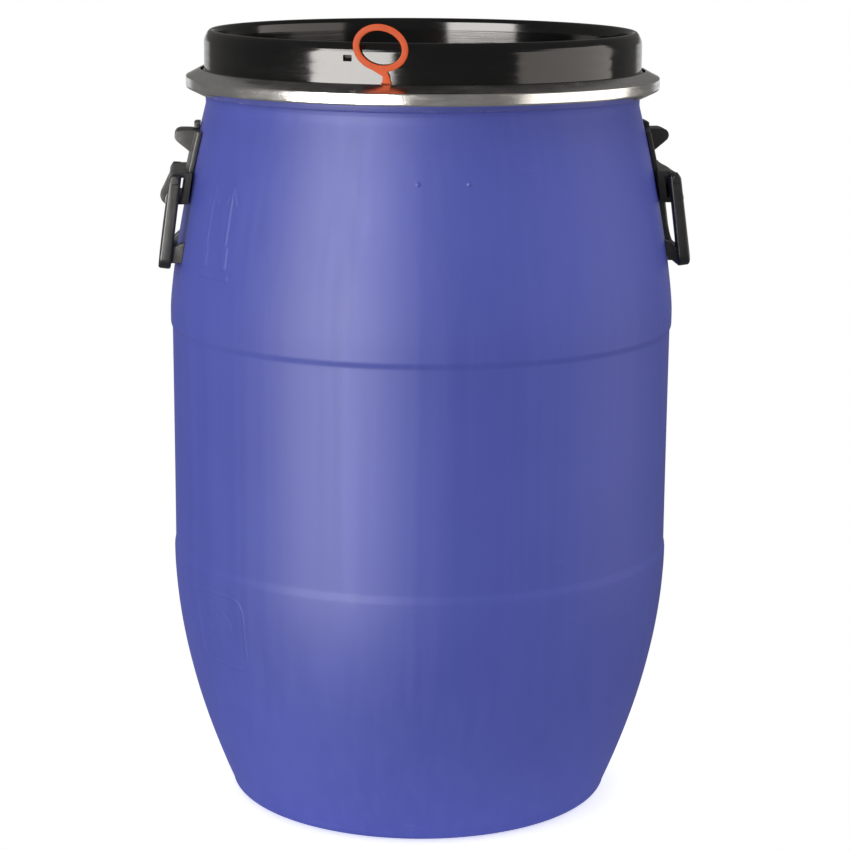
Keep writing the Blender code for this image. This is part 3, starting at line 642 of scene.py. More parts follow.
def combined(mesh, cutter, operation):
    """The exact Boolean of two meshes."""
    holders = [bpy.data.objects.new("part", mesh), bpy.data.objects.new("cutter", cutter)]
    for holder in holders:
        bpy.context.scene.collection.objects.link(holder)
    step = holders[0].modifiers.new("cut", "BOOLEAN")
    step.solver = "EXACT"
    step.operation = operation
    step.object = holders[1]
    bpy.context.view_layer.update()
    shape = holders[0].evaluated_get(bpy.context.evaluated_depsgraph_get())
    result = bpy.data.meshes.new_from_object(shape)
    for holder in holders:
        bpy.data.objects.remove(holder)
    return result


def moved(mesh, *matrices):
    for matrix in matrices:
        mesh.transform(matrix)
    return mesh


def in_plan(radius, rear_angle):
    """A point in plan, its angle measured from +Y towards +X."""
    return (radius * math.sin(rear_angle), radius * math.cos(rear_angle))


def arc(radius, start, end, count):
    span = (end - start) / (count - 1)
    return [in_plan(radius, start + step * span) for step in range(count)]


def circle_arc(centre, radius, start, end, count):
    span = (end - start) / (count - 1)
    return [
        (
            centre[0] + radius * math.cos(start + step * span),
            centre[1] + radius * math.sin(start + step * span),
        )
        for step in range(count)
    ]


# ---- barrel
def smooth(value):
    value = np.clip(value, 0.0, 1.0)
    return value * value * (3 - 2 * value)


def body_radius(height):
    """The barrel's outer radius at a height between the foot and the neck."""
    height = np.asarray(height, float)
    low_fall = np.clip((LOW_STEP_Z - height) / LOW_STEP_Z, 0.0, 1.0) ** LOWER_POWER
    lower = LOWER_R - (LOWER_R - FOOT_R) * low_fall
    low_step = smooth((height - LOW_STEP_Z) / LOW_STEP_HEIGHT)
    rise = np.clip(
        (height - LOW_STEP_Z - LOW_STEP_HEIGHT) / (HIGH_STEP_Z - LOW_STEP_Z - LOW_STEP_HEIGHT),
        0.0,
        1.0,
    )
    band = BAND_R + (BAND_TOP_R - BAND_R) * rise**2
    high_step = smooth((height - HIGH_STEP_Z) / HIGH_STEP_HEIGHT)
    fall = np.clip((height - SHOULDER_Z) / (NECK_Z - SHOULDER_Z), 0.0, 1.0) ** SHOULDER_POWER
    shoulder = SHOULDER_R - (SHOULDER_R - NECK_R) * fall
    middle = lower + (band - lower) * low_step
    return middle + (shoulder - middle) * high_step


def spread(start, end, step):
    """Even stations from start to just before end, about a step apart."""
    count = max(1, round(abs(end - start) / step))
    return [start + (end - start) * n / count for n in range(count)]


ARROW_ANGLES = (math.radians(-63.0), math.radians(-55.2))
ARROW_BASE_Z = 0.4480
ARROW_TIP_Z = 0.5100
ARROW_HEAD = 0.0130
ARROW_BARB = 0.0065
BARB_TOP_Z = ARROW_TIP_Z - 0.001
BARB_LINE = 0.0006
BARB_RISE = 0.00045
SHAFT_ENDS = (ARROW_TIP_Z - 0.004, ARROW_BASE_Z + 0.019)
SHAFT_LINE = 0.0009
SHAFT_RISE = 0.00065
FRAME_ANGLE = math.radians(-57.0)
FRAME_MID_Z = 0.1640
FRAME_BOX = (FRAME_MID_Z, 0.0315, 0.0290, 0.0120)
FRAME_LINE = 0.0006
FRAME_RISE = 0.0004
OVAL_HALF_WIDTH = 0.0150
OVAL_HALF_HEIGHT = 0.0110
OVAL_MEAN_R = 0.0125
OVAL_MID_Z = FRAME_MID_Z + 0.004
OVAL_LINE = 0.0005
OVAL_RISE = 0.0003
# middle height, half width, half height and corner of the plain raised boxes
ARROW_BLOCK = (ARROW_BASE_Z + 0.0085, 0.0030, 0.0085, 0.001)
ARROW_BLOCK_RISE = 0.0006
ARROW_BAR = (ARROW_BASE_Z - 0.0063, 0.0205, 0.0018, 0.0008)
ARROW_BAR_RISE = 0.00045
UNDERLINE = (FRAME_MID_Z - 0.0135, 0.0150, 0.0006, 0.0003)
BUMP_ANGLES = (math.radians(-5.9), math.radians(5.9))
BUMP_Z = 0.5205
BUMP_R = 0.0022
BUMP_RISE = 0.0013
RELIEF_SLOPE = 0.0009


def stroke_distance(across, height, start, end):
    """Distance to a straight stroke, over arrays of points on the unrolled wall."""
    run = (end[0] - start[0], end[1] - start[1])
    length = run[0] ** 2 + run[1] ** 2
    part = ((across - start[0]) * run[0] + (height - start[1]) * run[1]) / length
    part = np.clip(part, 0.0, 1.0)
    return np.hypot(across - start[0] - part * run[0], height - start[1] - part * run[1])


def box_distance(across, height, box):
    """Signed distance to a rounded box on the unrolled wall."""
    middle, half_width, half_height, corner = box
    dx = np.abs(across) - half_width + corner
    dz = np.abs(height - middle) - half_height + corner
    outside = np.hypot(np.maximum(dx, 0.0), np.maximum(dz, 0.0))
    return outside + np.minimum(np.maximum(dx, dz), 0.0) - corner


def relief(angles, heights, radii):
    """Raised marks on the barrel: two arrows over a bar, a framed oval, two small bumps."""
    lift = np.zeros_like(heights)

    def add(distance, half_width, rise):
        ridge = rise * smooth((half_width + RELIEF_SLOPE - distance) / RELIEF_SLOPE)
        np.maximum(lift, ridge, out=lift)

    for angle in ARROW_ANGLES:
        across = (angles - angle) * radii
        for side in (-1, 1):
            barb = (side * ARROW_BARB, ARROW_TIP_Z - ARROW_HEAD)
            stroke = stroke_distance(across, heights, (0.0, BARB_TOP_Z), barb)
            add(stroke, BARB_LINE, BARB_RISE)
        top, foot = SHAFT_ENDS
        add(stroke_distance(across, heights, (0.0, top), (0.0, foot)), SHAFT_LINE, SHAFT_RISE)
        add(box_distance(across, heights, ARROW_BLOCK), 0.0, ARROW_BLOCK_RISE)
    across = (angles - sum(ARROW_ANGLES) / 2) * radii
    add(box_distance(across, heights, ARROW_BAR), 0.0, ARROW_BAR_RISE)
    across = (angles - FRAME_ANGLE) * radii
    add(np.abs(box_distance(across, heights, FRAME_BOX)), FRAME_LINE, FRAME_RISE)
    oval = np.hypot(across / OVAL_HALF_WIDTH, (heights - OVAL_MID_Z) / OVAL_HALF_HEIGHT)
    add(np.abs(oval - 1.0) * OVAL_MEAN_R, OVAL_LINE, OVAL_RISE)
    add(box_distance(across, heights, UNDERLINE), 0.0, OVAL_RISE)
    for angle in BUMP_ANGLES:
        spot = np.hypot((angles - angle) * radii, heights - BUMP_Z)
        np.maximum(lift, BUMP_RISE * smooth((BUMP_R - spot) / BUMP_R), out=lift)
    return lift


def barrel_columns():
    """Turning angles, closer together where there is relief."""
    stops = [
        (-180.0, -69.0, 2.5),
        (-69.0, -47.0, 0.25),
        (-47.0, -6.8, 2.5),
        (-6.8, -5.0, 0.12),
        (-5.0, 5.0, 2.5),
        (5.0, 6.8, 0.12),
        (6.8, 180.0, 2.5),
    ]
    return np.radians(sum((spread(*stop) for stop in stops), []))


def barrel_rows():
    """Heights of the barrel's rows from the neck down, closer where there is relief."""
    stops = [
        (NECK_Z, 0.5235, 0.0032),
        (0.5235, 0.5175, 0.0005),
        (0.5175, 0.5125, 0.0025),
        (0.5125, 0.4370, 0.0008),
        (0.4370, 0.3930, 0.0040),
        (0.3930, 0.3835, 0.0006),
        (0.3835, 0.2155, 0.0070),
        (0.2155, 0.2045, 0.0006),
        (0.2045, 0.1965, 0.0025),
        (0.1965, 0.1310, 0.0008),
        (0.1310, FOOT_CORNER, 0.0045),
    ]
    return sum((spread(*stop) for stop in stops), []) + [FOOT_CORNER]


INSIDE_FOOT_Z = 0.016
INSIDE_ROWS = 60
CORNER_STEPS = 12


def make_barrel():
    """The hollow barrel: its inside from the floor up, the mouth, then the outside down."""
    outer_z = np.array(barrel_rows())
    outer = list(zip(body_radius(outer_z).tolist(), outer_z.tolist()))
    inner_z = np.linspace(INSIDE_FOOT_Z, NECK_Z, INSIDE_ROWS)
    inside = list(zip((body_radius(inner_z) - WALL).tolist(), inner_z.tolist()))
    floor = soften(
        [
            (0.0, 0.0095), (0.100, 0.0095), (FOOT_FLAT_INNER - 0.006, 0.0075),
            (FOOT_FLAT_INNER + 0.001, 0.0036), (FOOT_FLAT_OUTER - 0.001, 0.0036),
            (FOOT_FLAT_OUTER + 0.0065, 0.0085),
        ],
        0.004,
    )
    mouth = soften(
        [
            inside[-1],
            (MOUTH_R, 0.5720, 0.004), (MOUTH_R, 0.5795), (0.1694, 0.5824), (0.1708, RIM_TOP_Z),
            (0.1766, RIM_TOP_Z), (0.1778, 0.5823), (0.1784, RIM_SHELF_Z, 0.0003),
            (RIM_R - 0.0009, RIM_SHELF_Z), (RIM_R, RIM_SHELF_Z - 0.0008), (RIM_R, 0.5786),
            (RIM_R - 0.0010, 0.5772), (0.1744, 0.5732, 0.002), (0.1727, 0.5712),
            (NECK_R, 0.5680),
            outer[0],
        ],
        0.0006,
    )[1:-1]
    top_r = float(body_radius(FOOT_CORNER))
    corner = []
    for step in range(1, CORNER_STEPS):
        turn = step / CORNER_STEPS * math.pi / 2
        reach = (top_r - FOOT_FLAT_OUTER) * math.cos(turn)
        corner.append((FOOT_FLAT_OUTER + reach, FOOT_CORNER * (1 - math.sin(turn))))
    base = soften(
        [
            (FOOT_FLAT_OUTER, 0.0), (FOOT_FLAT_INNER, 0.0), (FOOT_FLAT_INNER - 0.008, 0.0045),
            (0.100, 0.0060), (0.0, 0.0060),
        ],
        0.003,
    )
    before = floor + inside + mouth
    profile = before + outer + corner + base
    first = len(before)
    angles = barrel_columns()
    radii, heights = grid(profile, len(angles))
    rows = slice(first, first + len(outer))
    turn = np.repeat(angles[None, :], len(outer), axis=0)
    radii[rows] += relief(turn, heights[rows], radii[rows])
    return turned_mesh(radii, heights, angles)


finished("barrel", make_barrel(), BLUE, "drum", ["drum_body"], 60.0)


# ---- lid and gasket
def flange_top(radius):
    """The lid flange slopes down outward, under the ring's upper leg."""
    return FLANGE_EDGE_Z + FLANGE_SLOPE * (RIM_R - radius)


WALL_LINES = (0.6057, 0.5978)
LINE_DEPTH = 0.00010
LINE_HALF = 0.00035


def lid_profile():
    inner_wall = LID_WALL_R - 0.0096
    wall = [(LID_WALL_R, 0.6120, 0.0)]
    for line in WALL_LINES:
        wall += [
            (LID_WALL_R, line + LINE_HALF, 0.0), (LID_WALL_R - LINE_DEPTH, line, 0.0),
            (LID_WALL_R, line - LINE_HALF, 0.0),
        ]
    points = [
        (0.0, PANEL_Z), (0.050, PANEL_Z), (0.052, PANEL_Z + PANEL_RISE),
        (0.108, PANEL_Z + PANEL_RISE), (0.110, PANEL_Z), (PANEL_R, PANEL_Z, 0.003),
        (PANEL_R + 0.0028, PANEL_Z + 0.0015, 0.002),
        (PANEL_R + 0.0042, PANEL_Z + 0.0050, 0.003), (inner_wall, 0.6130, 0.02),
        (0.1642, 0.6186, 0.003), (0.1653, 0.6211, 0.003), (0.1670, CREST_Z, 0.003),
        (0.1688, 0.6217, 0.004), (0.1704, 0.6200, 0.004), (0.1719, 0.6170, 0.006),
        (0.1728, 0.6144, 0.006),
    ]
    flange = [
        (LID_WALL_R, 0.5920), (LID_WALL_R + 0.0006, 0.5912), (0.1750, flange_top(0.1750)),
        (RIM_R - 0.0006, flange_top(RIM_R - 0.0006)), (RIM_R, FLANGE_EDGE_Z - 0.0003),
        (RIM_R, 0.5824), (RIM_R - 0.0006, 0.5818), (0.1798, 0.5818), (0.1792, 0.5824),
        (0.1792, GROOVE_TOP_Z, 0.0003), (0.1706, GROOVE_TOP_Z, 0.0003), (0.1700, 0.5875),
        (0.1700, 0.6110, 0.002), (0.1686, 0.6162), (0.1675, 0.6172), (0.1665, 0.6158),
        (0.1666, 0.6080), (PLUG_R - 0.0002, 0.5885), (PLUG_R, 0.5776),
        (PLUG_R - 0.0008, PLUG_BOTTOM_Z), (PLUG_R - 0.0036, PLUG_BOTTOM_Z),
        (PLUG_R - 0.0042, PANEL_Z - PANEL_THICK - 0.0010, 0.001),
        (PANEL_R - 0.0010, PANEL_Z - PANEL_THICK), (0.1088, PANEL_Z - PANEL_THICK),
        (0.1068, PANEL_Z - PANEL_THICK + PANEL_RISE),
        (0.0532, PANEL_Z - PANEL_THICK + PANEL_RISE), (0.0512, PANEL_Z - PANEL_THICK),
        (0.0, PANEL_Z - PANEL_THICK),
    ]
    return soften(points + wall + flange, 0.0006, 4)


LID_STEPS = 288
POCKET_ANGLE = math.radians(-23.6)
POCKET_Z = 0.6105
POCKET_DEPTH = 0.0016
POCKET_BOX = (0.0034, 0.0021, 0.0006)
POCKET_TILT = math.radians(-28.0)


def rounded_box(half_width, half_height, corner, count=5):
    """A box about the origin with round corners, from its right upper corner leftward."""
    points = []
    for quarter, (side, level) in enumerate(((1, 1), (-1, 1), (-1, -1), (1, -1))):
        centre = (side * (half_width - corner), level * (half_height - corner))
        start = quarter * math.pi / 2
        points += circle_arc(centre, corner, start, start + math.pi / 2, count)
    return points


def in_front(mesh, radius, angle, height, tilt=0.0):
    """Stands a flat mesh up, facing outward at an angle in plan from the front."""
    return moved(
        mesh,
        Matrix.Rotation(math.pi / 2 + tilt, 4, "X"),
        Matrix.Rotation(angle, 4, "Z"),
        Matrix.Translation((radius * math.sin(angle), -radius * math.cos(angle), height)),
    )


def make_lid():
    shape = lathe(lid_profile(), LID_STEPS)
    pocket = plate([rounded_box(*POCKET_BOX)], 2 * POCKET_DEPTH)
    pocket = in_front(pocket, LID_WALL_R, POCKET_ANGLE, POCKET_Z, POCKET_TILT)
    return combined(shape, pocket, "DIFFERENCE")


finished("black_lid", make_lid(), LID_BLACK, "closure", ["lid"], 35.0)

gasket_profile = soften(
    [
        (0.1787, GROOVE_TOP_Z - GAP), (0.1787, RIM_TOP_Z + GAP), (0.1708, RIM_TOP_Z + GAP),
        (0.1708, GROOVE_TOP_Z - GAP),
    ],
    0.0009,
    closed=True,
)
finished(
    "foam_gasket",
    lathe(gasket_profile, 192, closed=True),
    FOAM,
    "closure",
    ["lid_gasket"],
)


# ---- clamp ring and closure
def ring_profile():
    outer = [
        (0.1762, 0.5919, 0.0004), (0.1773, 0.5915, 0.0006), (0.1858, 0.5870, 0.001),
        (0.1871, 0.5864, 0.0006), (RING_R, 0.5857, 0.0005), (RING_R, 0.5788, 0.001),
        (0.1871, 0.5775, 0.001), (0.1854, 0.5765, 0.002), (0.1772, 0.5725, 0.0006),
        (0.1763, 0.5721, 0.0004),
    ]
    inner = [
        (0.1759, 0.5731, 0.0003), (0.1766, 0.5737, 0.0004), (0.1849, 0.5777, 0.001),
        (0.1861, 0.5786, 0.001), (RING_R - 0.0013, 0.5793, 0.0006),
        (RING_R - 0.0013, 0.5847, 0.0006), (0.1860, 0.5853, 0.001), (0.1850, 0.5859, 0.001),
        (0.1766, 0.5903, 0.0004), (0.1759, 0.5909, 0.0003),
    ]
    return thinned(soften(outer + inner, 0.0005, 3, closed=True))


RING_STEPS = 340


def make_ring():
    """The split channel, from one side of its gap round to the other."""
    profile = ring_profile()
    start = math.pi - RING_SPLIT_FROM
    end = math.pi - RING_SPLIT_TO + 2 * math.pi
    angles = np.linspace(start, end, RING_STEPS)
    return turned_mesh(*grid(profile, RING_STEPS), angles, closed_profile=True, closed_turn=False)


finished("zinc_ring", make_ring(), ZINC_RING, "closure", ["clamp_ring"], 50.0)

lever_pin_at = in_plan(LEVER_PIN_R, LEVER_PIN_ANGLE)
bow_pin_at = in_plan(BOW_PIN_R, BOW_PIN_ANGLE)
bow_hook_at = in_plan(BOW_HOOK_R, BOW_HOOK_ANGLE)
at_ring = Matrix.Translation((0.0, 0.0, RING_MID_Z))

lug_outline = arc(RING_R + GAP, math.radians(6.5), math.radians(-0.6), 9) + circle_arc(
    lever_pin_at, 0.0042, math.pi - LEVER_PIN_ANGLE, -LEVER_PIN_ANGLE, 17
)
catch_outline = (
    arc(RING_R + GAP, math.radians(-11.25), math.radians(-4.8), 9)
    + arc(RING_R + 0.0018, math.radians(-4.8), math.radians(-8.6), 7)
    + arc(RING_R + 0.0080, math.radians(-9.2), math.radians(-10.55), 4)
)
for name, outline, part in (
    ("zinc_lug", lug_outline, "ring_lever_lug"),
    ("zinc_catch", catch_outline, "ring_catch"),
):
    mesh = moved(plate([outline], 2 * LUG_HALF_HEIGHT, FINE_EDGE), at_ring)
    finished(name, mesh, ZINC_LUG, "closure", [part])


ARM_STEPS = 32
LEVER_TAIL_THICK = 0.0034
HOLLOW_INNER_R = 0.1800
HOLLOW_OUTER_R = 0.2060
HOLLOW_BACK_R = 0.1780


def lever_blank():
    """The pressed lever's plan: round ear, long arm along the ring, flared tail."""
    ear_start = -math.pi / 2 - LEVER_PIN_ANGLE
    ear = circle_arc(lever_pin_at, LEVER_EAR_R, ear_start, ear_start - math.pi, 17)
    parts = np.linspace(0.0, 1.0, 9)[1:]

    def flare(radius):
        return [
            in_plan(radius + LEVER_FLARE * p**2, LEVER_END + p * (LEVER_TAIL - LEVER_END))
            for p in parts
        ]

    outer = arc(LEVER_OUTER_R, LEVER_PIN_ANGLE + math.radians(0.8), LEVER_END, ARM_STEPS)
    inner = arc(LEVER_INNER_R, LEVER_END, LEVER_PIN_ANGLE + math.radians(1.2), ARM_STEPS)
    tail_inside = flare(LEVER_OUTER_R - LEVER_TAIL_THICK)[::-1]
    return ear + outer + flare(LEVER_OUTER_R) + tail_inside + inner


def lever_hollow():
    """What is pressed out between the lever's two flanges, in plan."""
    open_end = LEVER_PIN_ANGLE + math.radians(2.0)
    closed_end = LEVER_END - math.radians(0.6)
    first = LEVER_PIN_ANGLE - math.radians(4.0)
    mouth = [(HOLLOW_INNER_R, first), (HOLLOW_OUTER_R, first), (HOLLOW_OUTER_R, open_end)]
    back = [(HOLLOW_INNER_R, closed_end), (HOLLOW_BACK_R, (open_end + closed_end) / 2)]
    face = arc(LEVER_OUTER_R - LEVER_SHEET, open_end, closed_end, ARM_STEPS)
    return [in_plan(*at) for at in mouth] + face + [in_plan(*at) for at in back]


def make_lever():
    solid = moved(plate([lever_blank()], 2 * LEVER_HALF_HEIGHT, 0.0010, 3), at_ring)
    hollow = moved(plate([lever_hollow()], 2 * (LEVER_HALF_HEIGHT - LEVER_SHEET)), at_ring)
    return combined(solid, hollow, "DIFFERENCE")


finished(
    "zinc_lever", make_lever(), ZINC_LEVER, "lever", ["closing_lever"], 35.0
)

PIN_HEAD_R = 0.0032
PIN_HEAD = 0.0008
pin_top = LEVER_HALF_HEIGHT + GAP
pin_profile = soften(
    [
        (0.0, pin_top + PIN_HEAD), (PIN_HEAD_R, pin_top + PIN_HEAD, 0.0006),
        (PIN_HEAD_R, pin_top, 0.0001), (PIN_R, pin_top, 0.0), (PIN_R, -pin_top, 0.0),
        (PIN_HEAD_R, -pin_top, 0.0001), (PIN_HEAD_R, -pin_top - PIN_HEAD, 0.0006),
        (0.0, -pin_top - PIN_HEAD),
    ],
    0.0003,
)
finished(
    "steel_lever_pin",
    moved(lathe(pin_profile, SMALL_LATHE), Matrix.Translation((*lever_pin_at, RING_MID_Z))),
    PIN_STEEL,
    "closure",
    ["lever_pin"],
)


BOW_CORNER = 0.003


def bow_path():
    """The wire bow: a closed loop round two upright bars."""
    reach = math.dist(bow_hook_at, bow_pin_at)
    toward = math.atan2(bow_hook_at[1] - bow_pin_at[1], bow_hook_at[0] - bow_pin_at[0])
    loop = rounded_box(reach / 2, BOW_HALF_HEIGHT, BOW_CORNER, 9)
    cos, sin = math.cos(toward), math.sin(toward)
    start_x, start_y = bow_pin_at
    return [
        (start_x + (reach / 2 + x) * cos, start_y + (reach / 2 + x) * sin, RING_MID_Z + up)
        for x, up in loop
    ]


finished(
    "zinc_bow", tube(bow_path(), BOW_WIRE), ZINC_WIRE, "bow", ["tension_bow"]
)


# ---- tamper seal
STEM_HALF_WIDTH = 0.0026
STEM_TOP = 0.0062
FOOT_HALF_WIDTH = 0.0040
TOOTH_PITCH = 0.0020
TOOTH_HEIGHT = 0.0012


def tilted_ellipse(half_width, half_height, start, end, count):
    """Part of an oval about the seal's centre, leaning with the pull ring."""
    cos, sin = math.cos(SEAL_TILT), math.sin(SEAL_TILT)
    points = []
    for turn in np.linspace(start, end, count):
        across, up = half_width * math.cos(turn), half_height * math.sin(turn)
        points.append(
            (SEAL_CENTRE[0] + across * cos - up * sin, SEAL_CENTRE[1] + across * sin + up * cos)
        )
    return points


def seal_outline():
    """The pull ring's outer edge running into the stem and its four teeth."""
    loop = tilted_ellipse(*SEAL_OUTER, math.radians(-64), math.radians(264), 90)
    teeth = []
    for tooth in range(4):
        left = tooth * TOOTH_PITCH - FOOT_HALF_WIDTH
        teeth += [(left, TOOTH_HEIGHT), (left + TOOTH_PITCH / 2, 0.0)]
    stem = [(-STEM_HALF_WIDTH, STEM_TOP), (-STEM_HALF_WIDTH, 0.0024)]
    foot = [(FOOT_HALF_WIDTH, TOOTH_HEIGHT), (0.0030, 0.0030), (STEM_HALF_WIDTH, STEM_TOP)]
    return loop + stem + teeth + foot


def make_seal():
    hole = (SEAL_OUTER[0] - SEAL_BAND, SEAL_OUTER[1] - SEAL_BAND)
    inner = tilted_ellipse(*hole, 0.0, 2 * math.pi * (1 - 1 / SEAL_STEPS), SEAL_STEPS)
    shape = plate([seal_outline(), inner], SEAL_THICK, FINE_EDGE, 3)
    return in_front(shape, SEAL_R, SEAL_ANGLE, SEAL_BASE_Z)


finished("orange_seal", make_seal(), ORANGE, "closure", ["tamper_seal"])


# ---- handles
NOSE_OUTLINE = [
    (0.1800, 0.5440), (0.1840, 0.5445), (0.1915, 0.5446), (0.1950, 0.5436), (0.1966, 0.5412),
    (0.1970, 0.5388), (0.1960, 0.5362), (0.1925, 0.5330), (0.1890, 0.5302), (0.1862, 0.5278),
    (0.1840, 0.5262),
]
HOOD_PROFILE = [
    (0.1870, HOOD_TOP_Z, 0.0), (0.1975, HOOD_TOP_Z, 0.002), (0.1998, 0.5118, 0.002),
    (0.2028, 0.5060, 0.004), (0.2060, 0.4992, 0.004), (0.2084, 0.4945, 0.003),
    (0.2090, 0.4915, 0.002), (0.2082, 0.4892, 0.001), (0.2062, HOOD_BOTTOM_Z, 0.001),
    (0.1905, HOOD_BOTTOM_Z, 0.0),
]
SLOT_OUTLINE = [
    (0.1919, 0.4924), (0.1936, 0.4924), (0.1936, 0.5080), (0.1920, 0.5094), (0.1893, 0.5094),
]
REST_OUTLINE = [
    (0.1880, 0.4430), (0.2030, 0.4430), (0.2030, 0.4540), (0.1984, 0.4540), (0.1950, 0.4572),
    (0.1880, 0.4600),
]
REST_Y = 0.0390
REST_HALF_WIDTH = 0.0050
CUT_HALF = 0.0600
CLIP_FOOT_Z = 0.5450
CLIP_TOP_Z = 0.5502
REST_TOP_Z = 0.4800
REST_FOOT_Z = 0.4300
BAIL_EDGE = 0.0020
ARM_CUT_FROM = Vector((0.1958, 0.0, 0.5172))
ARM_CUT_TO = Vector((0.2060, 0.0, 0.5018))
ARM_CUT_SOFT = 0.0012
BAIL_HEAD_R = 0.0036
BAIL_HEAD = 0.0014
BAIL_HEAD_EDGE = 0.0006
PIN_DEPTH = 0.0090


def barrel_side(offset, start, end, count):
    """Points beside the barrel's outer face, from one height to another."""
    heights = np.linspace(start, end, count)
    return list(zip((body_radius(heights) + offset).tolist(), heights.tolist()))


def wrapped(profile, half_width, edge, spacing=0.002):
    """A closed (radius, height) profile swept round the axis between two upright end planes.

    It lies about +X, its ends face -Y and +Y, and their edges are rounded.
    """
    points = np.array(thinned(profile))
    along = np.roll(points, -1, axis=0) - np.roll(points, 1, axis=0)
    along /= np.linalg.norm(along, axis=1)[:, None]
    inward = np.stack([along[:, 1], -along[:, 0]], axis=1)
    radii, heights = points.T
    if np.sum(radii * np.roll(heights, -1) - np.roll(radii, -1) * heights) > 0:
        inward = -inward
    turns = np.linspace(0.0, math.pi / 2, 4)
    rim = [(half_width - edge * (1 - math.sin(t)), edge * (1 - math.cos(t))) for t in turns[::-1]]
    count = max(2, round(2 * (half_width - edge) / spacing))
    middle = [(y, 0.0) for y in np.linspace(-(half_width - edge), half_width - edge, count + 1)]
    columns = [(-y, inset) for y, inset in rim] + middle[1:-1] + rim[::-1]
    verts = []
    for y, inset in columns:
        moved_in = points + inward * inset
        across = np.sqrt(moved_in[:, 0] ** 2 - y**2)
        verts += [(float(x), float(y), float(z)) for x, z in zip(across, moved_in[:, 1])]
    rows = len(points)
    faces = []
    for column in range(len(columns) - 1):
        for row in range(rows):
            side = (row + 1) % rows
            start = column * rows
            faces.append([start + row, start + side, start + rows + side, start + rows + row])
    faces.append(list(range(rows)))
    faces.append(list(range((len(columns) - 1) * rows, len(columns) * rows))[::-1])
    mesh = bpy.data.meshes.new("wrapped")
    mesh.from_pydata(verts, [], faces)
    outward(mesh)
    return mesh


def turned_to(side, mesh):
    if side == "left":
        mesh.transform(Matrix.Rotation(math.pi, 4, "Z"))
    return mesh


def upright(mesh, middle_y=0.0):
    """Local X outward along +X and local Y up."""
    return moved(mesh, Matrix.Rotation(math.pi / 2, 4, "X"), Matrix.Translation((0, middle_y, 0)))


def cross_rod(radius, half_length):
    """A round bar along Y through the bail's pivot."""
    profile = [(0.0, half_length), (radius, half_length)]
    profile += [(r, -z) for r, z in reversed(profile)]
    return moved(
        lathe(profile, SMALL_LATHE),
        Matrix.Rotation(math.pi / 2, 4, "X"),
        Matrix.Translation((BAIL_PIVOT_X, 0.0, BAIL_PIVOT_Z)),
    )


def make_bracket():
    """Strap, guard nose above and pivot hood below, in one moulding."""
    outer = barrel_side(STRAP_THICK, STRAP_TOP_Z, HOOD_BOTTOM_Z, 24)
    back = barrel_side(BARREL_CLEARANCE, HOOD_BOTTOM_Z, STRAP_TOP_Z, 24)
    strap = wrapped(outer + back, STRAP_HALF_WIDTH, STRAP_EDGE)
    hood = wrapped(soften(HOOD_PROFILE, 0.002, 3, closed=True), HOOD_HALF_WIDTH, MOULDED_EDGE)
    nose = soften(NOSE_OUTLINE, 0.003, 3, closed=True)
    nose = upright(plate([nose], 2 * NOSE_HALF_WIDTH, MOULDED_EDGE, 3))
    slot = upright(plate([SLOT_OUTLINE], 2 * CUT_HALF))
    shape = combined(strap, hood, "UNION")
    shape = combined(shape, nose, "UNION")
    shape = combined(shape, cross_rod(BOSS_R, HOOD_HALF_WIDTH - 0.0003), "UNION")
    shape = combined(shape, slot, "DIFFERENCE")
    return combined(shape, cross_rod(BAIL_PIN_R + GAP, CUT_HALF), "DIFFERENCE")


def make_clip():
    """The small knob between the bracket's top edge and the neck."""
    back = barrel_side(BARREL_CLEARANCE, CLIP_FOOT_Z, CLIP_TOP_Z, 2)
    face = [(0.1800, CLIP_TOP_Z), (0.1813, 0.5490), (0.1815, CLIP_FOOT_Z)]
    outline = soften(back + face, MOULDED_EDGE, closed=True)
    return upright(plate([outline], 2 * CLIP_HALF_WIDTH, MOULDED_EDGE, 3))


def bail_outline():
    """The bail in its own plane, (y, z) from the pivot: two arms and a grip bar."""
    middle = (BAIL_OUTER_Y + BAIL_INNER_Y) / 2
    top = circle_arc((middle, 0.0), BAIL_ARM / 2, 0.0, math.pi, 21)
    at = (BAIL_INNER_Y - BAIL_INNER_CORNER, BAIL_BAR + BAIL_INNER_CORNER - BAIL_DROP)
    inside = circle_arc(at, BAIL_INNER_CORNER, 0.0, -math.pi / 2, 14)
    at = (BAIL_OUTER_Y - BAIL_OUTER_CORNER, BAIL_OUTER_CORNER - BAIL_DROP)
    outside = circle_arc(at, BAIL_OUTER_CORNER, -math.pi / 2, 0.0, 14)
    half = top + inside
    mirrored = [[(-y, z) for y, z in reversed(part)] for part in (half, outside)]
    return half + mirrored[0] + mirrored[1] + outside


def sloped_tops(mesh):
    """Presses the outer corner of each arm's top down to a soft slope."""
    slope = (ARM_CUT_TO - ARM_CUT_FROM).normalized()
    facing = Vector((-slope.z, 0.0, slope.x))
    for vert in mesh.vertices:
        depth = (vert.co - ARM_CUT_FROM).dot(facing)
        if depth > -ARM_CUT_SOFT:
            kept = -ARM_CUT_SOFT * math.exp(-(depth + ARM_CUT_SOFT) / ARM_CUT_SOFT)
            vert.co += facing * (kept - depth)
    return mesh


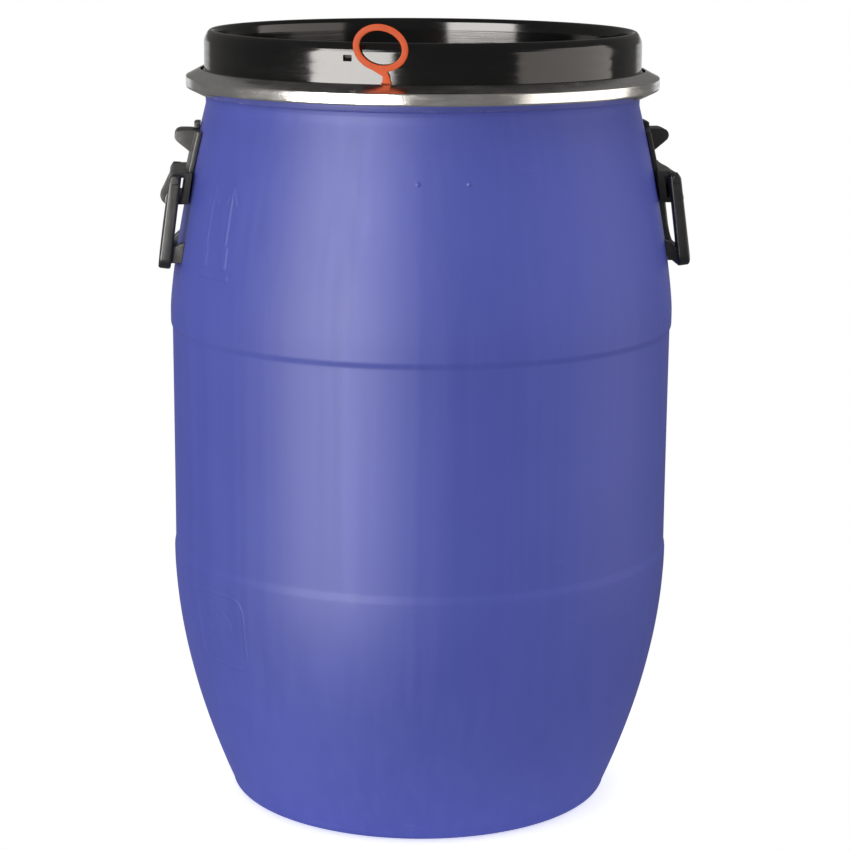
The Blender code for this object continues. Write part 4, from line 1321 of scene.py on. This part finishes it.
def make_bail():
    """Two arms and a bar, with a rest on each arm that stands against the barrel."""
    shape = moved(
        plate([bail_outline()], BAIL_THICK, BAIL_EDGE, 4),
        Matrix.Rotation(math.pi / 2, 4, "X"),
        Matrix.Rotation(math.pi / 2, 4, "Z"),
        Matrix.Rotation(-BAIL_LEAN, 4, "Y"),
        Matrix.Translation((BAIL_PIVOT_X, 0.0, BAIL_PIVOT_Z)),
    )
    sloped_tops(shape)
    side = barrel_side(BARREL_CLEARANCE, REST_TOP_Z, REST_FOOT_Z, 9)
    core = [(0.0, REST_TOP_Z)] + side + [(0.0, REST_FOOT_Z)]
    for front in (-1, 1):
        rest = upright(plate([REST_OUTLINE], 2 * REST_HALF_WIDTH, FINE_EDGE), front * REST_Y)
        rest = combined(rest, lathe(core), "DIFFERENCE")
        shape = combined(shape, rest, "UNION")
    return combined(shape, cross_rod(BAIL_PIN_R + GAP, CUT_HALF), "DIFFERENCE")


def make_bail_pin(front):
    """A headed pin through one arm into the hood's end face."""
    head = BAIL_OUTER_Y - HOOD_HALF_WIDTH + GAP
    profile = [
        (0.0, head + BAIL_HEAD), (BAIL_HEAD_R - BAIL_HEAD_EDGE, head + BAIL_HEAD, 0.002),
        (BAIL_HEAD_R, head + BAIL_HEAD - BAIL_HEAD_EDGE), (BAIL_HEAD_R, head, 0.0001),
        (BAIL_PIN_R, head, 0.0), (BAIL_PIN_R, -PIN_DEPTH, 0.0002), (0.0, -PIN_DEPTH),
    ]
    return moved(
        lathe(soften(profile, 0.0004), SMALL_LATHE),
        Matrix.Rotation(-front * math.pi / 2, 4, "X"),
        Matrix.Translation((BAIL_PIVOT_X, front * HOOD_HALF_WIDTH, BAIL_PIVOT_Z)),
    )


for side in ("left", "right"):
    paint = satin_black("satin_black_" + side, 0.0 if side == "left" else 3.0)
    for kind, make, body in (
        ("bracket", make_bracket, "drum"),
        ("clip", make_clip, "drum"),
        ("bail", make_bail, "bail_" + side),
    ):
        part = f"handle_{kind}_{side}"
        mesh = turned_to(side, make())
        finished(f"black_{kind}_{side}", mesh, paint, body, [part], 35.0)
    for front, end in ((-1, "front"), (1, "back")):
        part = f"bail_pin_{side}_{end}"
        mesh = turned_to(side, make_bail_pin(-front if side == "left" else front))
        finished("black_" + part, mesh, paint, "drum", [part])
